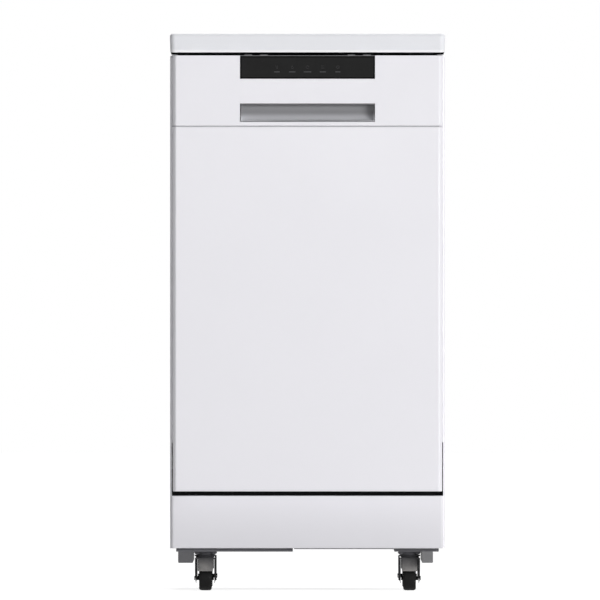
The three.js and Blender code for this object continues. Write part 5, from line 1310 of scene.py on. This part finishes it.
def rack(front, half, floor, rim, bows, rise, slope, loop):
    """The wires of one rack. Its floor rises by rise over the length slope at the front."""
    lines = []
    for y, width in with_fill(bows):
        z = floor + max(0.0, 1 - (y - front) / slope) * rise
        lines.append(wire([(-half, y, rim), (-half, y, z), (half, y, z), (half, y, rim)], width))
    for x, width in with_fill(RUNS):
        path = [(x, front, rim), (x, front, floor + rise - STEP), (x, front + slope, floor - STEP),
                (x, RACK_BACK, floor - STEP), (x, RACK_BACK, rim)]
        if not rise:
            del path[2]
        lines.append(wire(path, width))
    for z, width in ((rim, RIM_WIRE), (loop, RACK_WIRE)):
        out = (width + RACK_WIRE) / 2 - 0.6
        x, y0, y1 = half + out, front - out, RACK_BACK + out
        lines.append(wire([(x, y1, z), (-x, y1, z), (-x, y0, z), (x, y0, z)], width, 12, closed=True))
    return lines


lines = rack(front=-215, half=184, floor=252, rim=372, bows=spread(-197, 178, 6), rise=34, slope=68, loop=312)
lines += [tine(x, y, 249.2, 78, 6) for x in RUNS[:3] for y in spread(-110, 150, 6)]
curve_piece("lower_rack_wires", lines, "lower_rack", NYLON, ["lower_rack"])
lines = rack(front=-225, half=180, floor=600, rim=716, bows=spread(-209, 178, 6), rise=0, slope=1, loop=650)
lines += [tine(x, y, 597.2, 46, 0) for x in (-158, 158) for y in spread(-140, 140, 5)]
curve_piece("upper_rack_wires", lines, "upper_rack", NYLON, ["upper_rack"])

# %% [markdown]
# The lower rack runs on moulded wheels, each on a carrier that is clipped over the wires. The upper one
# has small rollers on the same kind of carrier, which run inside C-shaped rails. Each section is
# written for the right side, and the sign of the side mirrors it.

# %% Rack wheels and rollers
WHEEL_LINE, RAIL_LINE = 247.3, 668      # heights of the wheels' and the rollers' axles


def turned_at_side(bm, side, section, place, steps):
    """Spins a section of (radius, distance from the middle) pairs at one side of the machine."""
    turned(bm, [(r, side * x) for r, x in section], place, steps, axis=0)


bm = bmesh.new()
tyre = [(0, 192), (4.4, 192), (5, 192.6), (5.4, 193.6), (11, 193.8), (11.8, 192.6), (13.8, 192.3), (15, 193.4),
        (15, 198.6), (13.8, 199.7), (11.8, 199.4), (11, 198.2), (5.4, 198.4), (4.8, 199.8), (0, 200)]
for side in (-1, 1):
    for y in (-122, 103):
        turned_at_side(bm, side, tyre, (y, WHEEL_LINE), 40)
        turned_at_side(bm, side, [(0, 184), (3.5, 184), (3.5, 193), (0, 193)], (y, WHEEL_LINE), 20)
        rounded_box(bm, sorted((side * 181, side * 187)), (y - 13, y + 13), (241.3, 302), 7, 0, 5, 0.8, 2)
piece("lower_rack_wheels", bm, "lower_rack", GREY_FITTING, ["lower_rack"], weld=False)
bm = bmesh.new()
roller = [(0, 190.3), (4.6, 190.3), (6, 191.3), (6, 194.5), (4.8, 195.5), (0, 195.5)]
for side in (-1, 1):
    for y in (-16, 118):
        turned_at_side(bm, side, roller, (y, RAIL_LINE), 32)
        turned_at_side(bm, side, [(0, 182), (2.6, 182), (2.6, 191.3), (0, 191.3)], (y, RAIL_LINE), 16)
        rounded_box(bm, sorted((side * 177, side * 183.4)), (y - 15, y + 15), (644, 692), 8, 0, 5, 0.8, 2)
piece("upper_rack_rollers", bm, "upper_rack", GREY_FITTING, ["upper_rack"], weld=False)

# %% [markdown]
# A rail is a C-section of stainless sheet, pushed along its length and closed by a stop at each end. It
# runs between four grooved rollers on a plate that is fixed to the tub's wall.

# %% Rails and roller plates
C_SECTION = [(188.5, 660), (196.7, 660), (197.5, 660.8), (197.5, 675.2), (196.7, 676), (188.5, 676),
             (188.5, 674.6), (195.6, 674.6), (196.1, 674.1), (196.1, 661.9), (195.6, 661.4), (188.5, 661.4)]
GROOVED = [(0, 188.5), (2.6, 188.5), (3.2, 189.2), (6.2, 189.4), (7, 190.4), (7, 196.6), (6.2, 197.6),
           (4, 198.4), (0, 198.4)]
for side, hand in SIDES:
    bm = bmesh.new()
    plate(bm, [(side * x, z) for x, z in C_SECTION], 1, (-219, 217))
    piece(f"slide_rail_{hand}", bm, "rails", STAINLESS, [f"rail_{hand}"])
    bm = bmesh.new()
    for y in (-219.0, 215.2):
        rounded_box(bm, sorted((side * 188.6, side * 196)), (y, y + 1.8), (661.5, 674.5), 1.4, 1, 3)
    piece(f"rail_stops_{hand}", bm, "rails", STAINLESS, [f"rail_{hand}"], weld=False)
    bm = bmesh.new()
    rounded_box(bm, sorted((side * 198.1, side * 201.7)), (-220, -90), (640, 696), 12, 0, 6, 0.8, 2)
    for y in (-200, -112):
        for z in (RAIL_LINE - 15.3, RAIL_LINE + 15.3):
            turned_at_side(bm, side, GROOVED, (y, z), 32)
    piece(f"rail_roller_plate_{hand}", bm, "cabinet", BLACK_PLASTIC,
          [f"rail_bracket_{hand}"], weld=False)

# %% [markdown]
# ## Cutlery basket
# The basket is an open moulding with tall slots. Planes cut the slots out of the walls and a grid of
# holes out of the floor, and the wall thickness makes their rims. Four inner walls part it in five
# cells, fine ribs cross the slots, and a bow with a round section carries it.

# %% Cutlery basket
BX, BY, BZ = (99, 171), (-118, 118), (254, 370)
SLOT_LINES, SLOT_HEIGHT = spread(-96, 96, 6), (266, 354)
bm = bmesh.new()
box(bm, BX, BY, BZ)
bmesh.ops.recalc_face_normals(bm, faces=bm.faces[:])
drop_faces(bm, lambda c, n: c.z > BZ[1] - 0.1)
bevel(bm, [e for e in bm.edges if along(2)(*[v.co / MM for v in e.verts])], 6, 5)
for y in SLOT_LINES:
    open_up(bm, (BX[0] - 5, BX[1] + 5), (y - 9, y + 9), SLOT_HEIGHT)
for x in (118, 152):
    open_up(bm, (x - 9, x + 9), (BY[0] - 5, BY[1] + 5), SLOT_HEIGHT)
for x in (112, 135, 158):
    for y in spread(-108, 108, 19):
        if y:                           # the middle row stays whole
            open_up(bm, (x - 7, x + 7), (y - 4, y + 4), (BZ[0] - 1, BZ[0] + 1))
piece("cutlery_grid", bm, "lower_rack", BASKET_GREY, ["cutlery_basket"], wall=2.0,
      outward=(0, 0, -1))
bm = bmesh.new()
for y in (-70.8, -23.6, 23.6, 70.8):
    rounded_box(bm, (BX[0] + 1, BX[1] - 1), (y - 0.9, y + 0.9), (255, 350), 0.7, 0, 2)
for z in (284, 302, 320, 338):
    for x in (BX[0] + 0.3, BX[1] - 1.7):
        rounded_box(bm, (x, x + 1.4), (BY[0] + 5, BY[1] - 5), (z - 0.8, z + 0.8), 0.5, 1, 2)
    for y in (BY[0] + 0.3, BY[1] - 1.7):
        rounded_box(bm, (BX[0] + 5, BX[1] - 5), (y, y + 1.4), (z - 0.8, z + 0.8), 0.5, 0, 2)
for y in SLOT_LINES:
    for x in (BX[0] + 0.3, BX[1] - 1.7):
        rounded_box(bm, (x, x + 1.4), (y - 0.8, y + 0.8), (265, 355), 0.5, 2, 2)
piece("cutlery_ribs", bm, "lower_rack", BASKET_GREY, ["cutlery_basket"], weld=False)
bow = [(135, -116.5, 362), (135, -98, 390), (135, 98, 390), (135, 116.5, 362)]
curve_piece("cutlery_bow", [wire(bow, 6, 22)], "lower_rack", BASKET_GREY,
            ["cutlery_basket"], sides=3)

# %% [markdown]
# ## Back of the cabinet
# The rear panel is zinc-coated sheet with three pressed ribs and a row of screws round its edge. The
# ribs are stacks of outlines that lie on the sheet, and each screw head is a small spun dome.

# %% Rear panel
REAR_FOOT, REAR_TOP = 131.4, 872.6
bm = bmesh.new()
rounded_box(bm, (-222, 222), (284.3, 285.6), (REAR_FOOT, REAR_TOP), 3, 1, 3, 0.4, 2)
for share in (0.28, 0.5, 0.72):
    z = REAR_FOOT + (REAR_TOP - REAR_FOOT) * share
    lofted(bm, rims(((-150, 150), (z - 13, z + 13), 12.9), (285.5, 0), (286.9, 1.0), (287.7, 3.4)))
screws = [(x, z) for x in (-216, 216) for z in spread(150, 854, 6)]
screws += [(x, z) for x in (-110, 0, 110) for z in (138, 866)]
for screw in screws:
    turned(bm, [(0, 285.2), (3.9, 285.2), (4.1, 285.8), (3.4, 286.9), (1.8, 287.4), (0, 287.5)],
           screw, 20, axis=1)
piece("rear_sheet", bm, "cabinet", REAR_ZINC, ["rear_panel"], weld=False)

# %% [markdown]
# Under the panel the threaded water inlet and the plain outlet stub come out of the base. The thread is
# part of the spun section: the radius goes in and out by almost a millimetre. A real thread is a screw
# line, but at this size rings look the same and stay light.

# %% Water inlet and outlet
INLET, OUTLET = (-130, 112), (-70, 112)


def flange(bm, inner, outer, front, place):
    """A ring with eased edges around a stub, up to the back of the base."""
    back = 281.2
    turned(bm, [(inner, front), (outer - 0.6, front), (outer, front + 0.5), (outer, back - 0.6),
                (outer - 0.6, back), (inner, back), (inner, front)], place, 40, axis=1)


thread = []
for y in spread(284, 298.4, 13):
    thread += [(13.4, y), (12.5, y + 0.6)]
bm = bmesh.new()
turned(bm, [(0, 276), (9.5, 276), (9.5, 300), (12.2, 300), (12.6, 299.4)] + thread[::-1]
       + [(13.4, 268.5), (0, 268.5)], INLET, 40, axis=1)
flange(bm, 13, 19, 270.5, INLET)
rounded_box(bm, (-152, -108), (216.5, 271.5), (92, 132), 4, 1, 4, 1, 2)
piece("inlet_valve", bm, "cabinet", BLACK_PLASTIC, ["water_inlet"], weld=False)
bm = bmesh.new()
turned(bm, [(0, 276), (8, 276), (8, 299), (10.4, 299), (11, 298.4), (11, 294.4), (10.2, 293), (10.2, 289),
            (11, 287.8), (13.4, 286.5), (13.4, 269.5), (0, 269.5)], OUTLET, 40, axis=1)
flange(bm, 10, 16, 242.5, OUTLET)
piece("outlet_stub", bm, "cabinet", GREY_FITTING, ["drain_outlet"], weld=False)

# %% [markdown]
# ## Parts that only need softer edges
# The sump, the pumps, the latch, the hinge arms and the base are right in shape. A merged copy of each
# mesh is freed of its inner edges and gets a small bevel, so that its edges catch light as real ones do.

# %% Softened copies
for node, body, slot, look, soft in (
        ("sump", "cabinet", "grey_plastic", GREY_FITTING, 0.5),
        ("wash_pump", "cabinet", "black_plastic", BLACK_PLASTIC, 0.8),
        ("drain_pump", "cabinet", "black_plastic", BLACK_PLASTIC, 0.8),
        ("door_latch", "door", "black_plastic", BLACK_PLASTIC, 0.5),
        ("hinge_arm_left", "door", "zinc_steel", ZINC, 0.4),
        ("hinge_arm_right", "door", "zinc_steel", ZINC, 0.4),
        ("base_tray", "cabinet", "grey_plastic", DARK_MOULDING, 0.6)):
    refined(node, body, look, soft)

# %% [markdown]
# ## Balance springs
# Two long tension springs in the base hold the door in any position. Each is one wire: a straight end,
# thirty turns round the axis, and the other straight end. A curve through the turns is enough, because
# the round section of the wire comes from the curve's own bevel.

# %% Balance springs
SPRING_X, SPRING_Z, COIL_START, COIL_LENGTH = 208, 132, -153.1, 120
TURNS, TURN_STEPS, COIL_RADIUS, SPRING_WIRE = 30, 14, 8, 3.2
for side, hand in SIDES:
    x = side * SPRING_X
    coil = [(x, -232, SPRING_Z), (x, COIL_START - 14, SPRING_Z)]
    for i in range(TURNS * TURN_STEPS + 1):
        angle = math.tau * i / TURN_STEPS
        coil.append((x + COIL_RADIUS * math.cos(angle), COIL_START + COIL_LENGTH * i / (TURNS * TURN_STEPS),
                     SPRING_Z + COIL_RADIUS * math.sin(angle)))
    coil += [(x, COIL_START + y, SPRING_Z) for y in (134, 180)]
    curve_piece(f"balance_spring_{hand}", [open_line(coil, SPRING_WIRE)], "cabinet", ZINC,
                [f"door_spring_{hand}"], sides=1)

# %% [markdown]
# ## Finishes of the remaining solids
# Every solid gets one of the finishes, in place of the plain colour it came with. Most of them have a
# piece that stands for them, so only a few of these finishes show.

# %% Carry the finishes over
LOOKS = {"white_enamel": ENAMEL, "white_moulding": WHITE_PLASTIC, "dark_window": DARK_WINDOW,
         "grey_moulding": GREY_PLASTIC, "dark_steel": DARK_STEEL, "zinc_steel": ZINC, "stainless": STAINLESS,
         "black_rubber": RUBBER, "coated_wire": NYLON, "grey_plastic": GREY_FITTING,
         "black_plastic": BLACK_PLASTIC}
slots = {part["node"]: part["material_slot"] for part in frame["record"]["subparts"]}
# The top frame is near black, painted shadow in the gap under the worktop.
special = {"top_frame": SHADOW_BLACK, "base_tray": DARK_MOULDING}
for name, node in frame["nodes"].items():
    node.data.materials.clear()
    node.data.materials.append(special.get(name, LOOKS[slots[name]]))
print("solids dressed:", len(slots))

# %% [markdown]
# ## Camera
# The photograph looks straight at the door with almost no perspective: the rear casters hide behind
# the front ones. So the camera stands far back with a very long lens, level with the middle. One
# pixel of the photograph is 1.6328 mm, its middle column lies at 307.5 and the floor at 591.

# %% Camera
PIXEL, MIDDLE, FLOOR_LINE = 1.6328, 307.5, 591.0
PICTURE = 600                   # pixels along each side of the photograph
SENSOR, DISTANCE, FRONT = 36, 45.0, 0.3         # film in mm, then camera and door front in metres
frame_width = PICTURE * PIXEL * MM
lens = bpy.data.cameras.new("camera")
camera = bpy.data.objects.new("camera", lens)
scene.collection.objects.link(camera)
lens.sensor_width = SENSOR
lens.lens = SENSOR * (DISTANCE - FRONT) / frame_width
lens.clip_start, lens.clip_end = 0.5, 200
camera.location = ((PICTURE / 2 - MIDDLE) * PIXEL * MM, -DISTANCE, (FLOOR_LINE - PICTURE / 2) * PIXEL * MM)
camera.rotation_euler = (math.pi / 2, 0, 0)
scene.camera = camera
print("lens:", round(lens.lens), "mm")

# %% [markdown]
# ## Ground
# A pale matt floor that keeps the shadow. A little light of its own, which only camera and mirror rays
# see, lifts it to the white of the background without more light falling on the machine.

# %% Floor
GLOW = 0.83             # strength of the floor's own light, where it is seen


def seen_rays(tree, kinds):
    """A value of 1 for rays of the given kinds, and 0 for all others."""
    path = add_node(tree, "ShaderNodeLightPath")
    seen = path.outputs[kinds[0]]
    for kind in kinds[1:]:
        seen = math_node(tree, "MAXIMUM", seen, path.outputs[kind])
    return seen


bm = bmesh.new()
bmesh.ops.create_grid(bm, x_segments=1, y_segments=1, size=40)
ground = bpy.data.meshes.new("floor")
bm.to_mesh(ground)
bm.free()
floor = bpy.data.objects.new("floor", ground)
scene.collection.objects.link(floor)
floor_look = bpy.data.materials.new("pale_floor")
floor_look.use_nodes = True
tree = floor_look.node_tree
shader = tree.nodes["Principled BSDF"]
for label, value in (("Base Color", (0.8, 0.8, 0.8, 1)), ("Roughness", 0.9), ("Specular IOR Level", 0.0),
                     ("Emission Color", (1, 1, 1, 1))):
    shader.inputs[label].default_value = value
glow = math_node(tree, "MULTIPLY", seen_rays(tree, ("Is Camera Ray", "Is Glossy Ray")), GLOW)
link(tree, [(glow, shader.inputs["Emission Strength"])])
floor.data.materials.append(floor_look)
print("floor ready")

# %% [markdown]
# ## Light
# A plain studio: a pale surround that is darker on the left, one large soft lamp in front and far to the
# right, a weaker one straight in front and a small one above. The left edges then turn grey, as in the
# photograph. Camera, mirror and transmission rays see the surround as pure white.

# %% Surround and lamps
LEFT_GREY, RIGHT_GREY, WHITE = (0.04, 0.04, 0.041, 1), (0.62, 0.62, 0.625, 1), (1, 1, 1, 1)
world = bpy.data.worlds.new("surround")
scene.world = world
world.use_nodes = True
tree = world.node_tree
seen = seen_rays(tree, ("Is Camera Ray", "Is Glossy Ray", "Is Transmission Ray"))
direction = add_node(tree, "ShaderNodeSeparateXYZ")
turn = add_node(tree, "ShaderNodeMapRange", in_1=-0.4, in_2=1.0)
even = add_node(tree, "ShaderNodeMix", data_type="RGBA", in_6=LEFT_GREY, in_7=RIGHT_GREY)
mix = add_node(tree, "ShaderNodeMix", data_type="RGBA", in_7=WHITE)
link(tree, [(add_node(tree, "ShaderNodeTexCoord").outputs["Generated"], direction.inputs[0]),
            (direction.outputs["X"], turn.inputs[0]), (turn.outputs[0], even.inputs[0]),
            (seen, mix.inputs[0]), (even.outputs[2], mix.inputs[6]),
            (mix.outputs[2], tree.nodes["Background"].inputs["Color"])])


def lamp(name, place, target, size, power):
    """A rectangular lamp that looks from its place at a target. Lengths are in metres, power in watts."""
    data = bpy.data.lights.new(name, "AREA")
    data.shape, data.size, data.size_y, data.energy = "RECTANGLE", *size, power
    obj = bpy.data.objects.new(name, data)
    obj.location = place
    obj.rotation_euler = (Vector(target) - Vector(place)).to_track_quat("-Z", "Y").to_euler()
    scene.collection.objects.link(obj)


lamp("key", (6.0, -9.3, 1.45), (0, 0, 0.4), (4.3, 2.6), 534)
lamp("front", (0.0, -9.0, 2.0), (0, 0, 0.4), (2.0, 2.0), 110)
lamp("top", (0.2, 0.9, 3.0), (0, 0, 0.9), (2.0, 1.6), 32)
print("lamps:", len(bpy.data.lights))
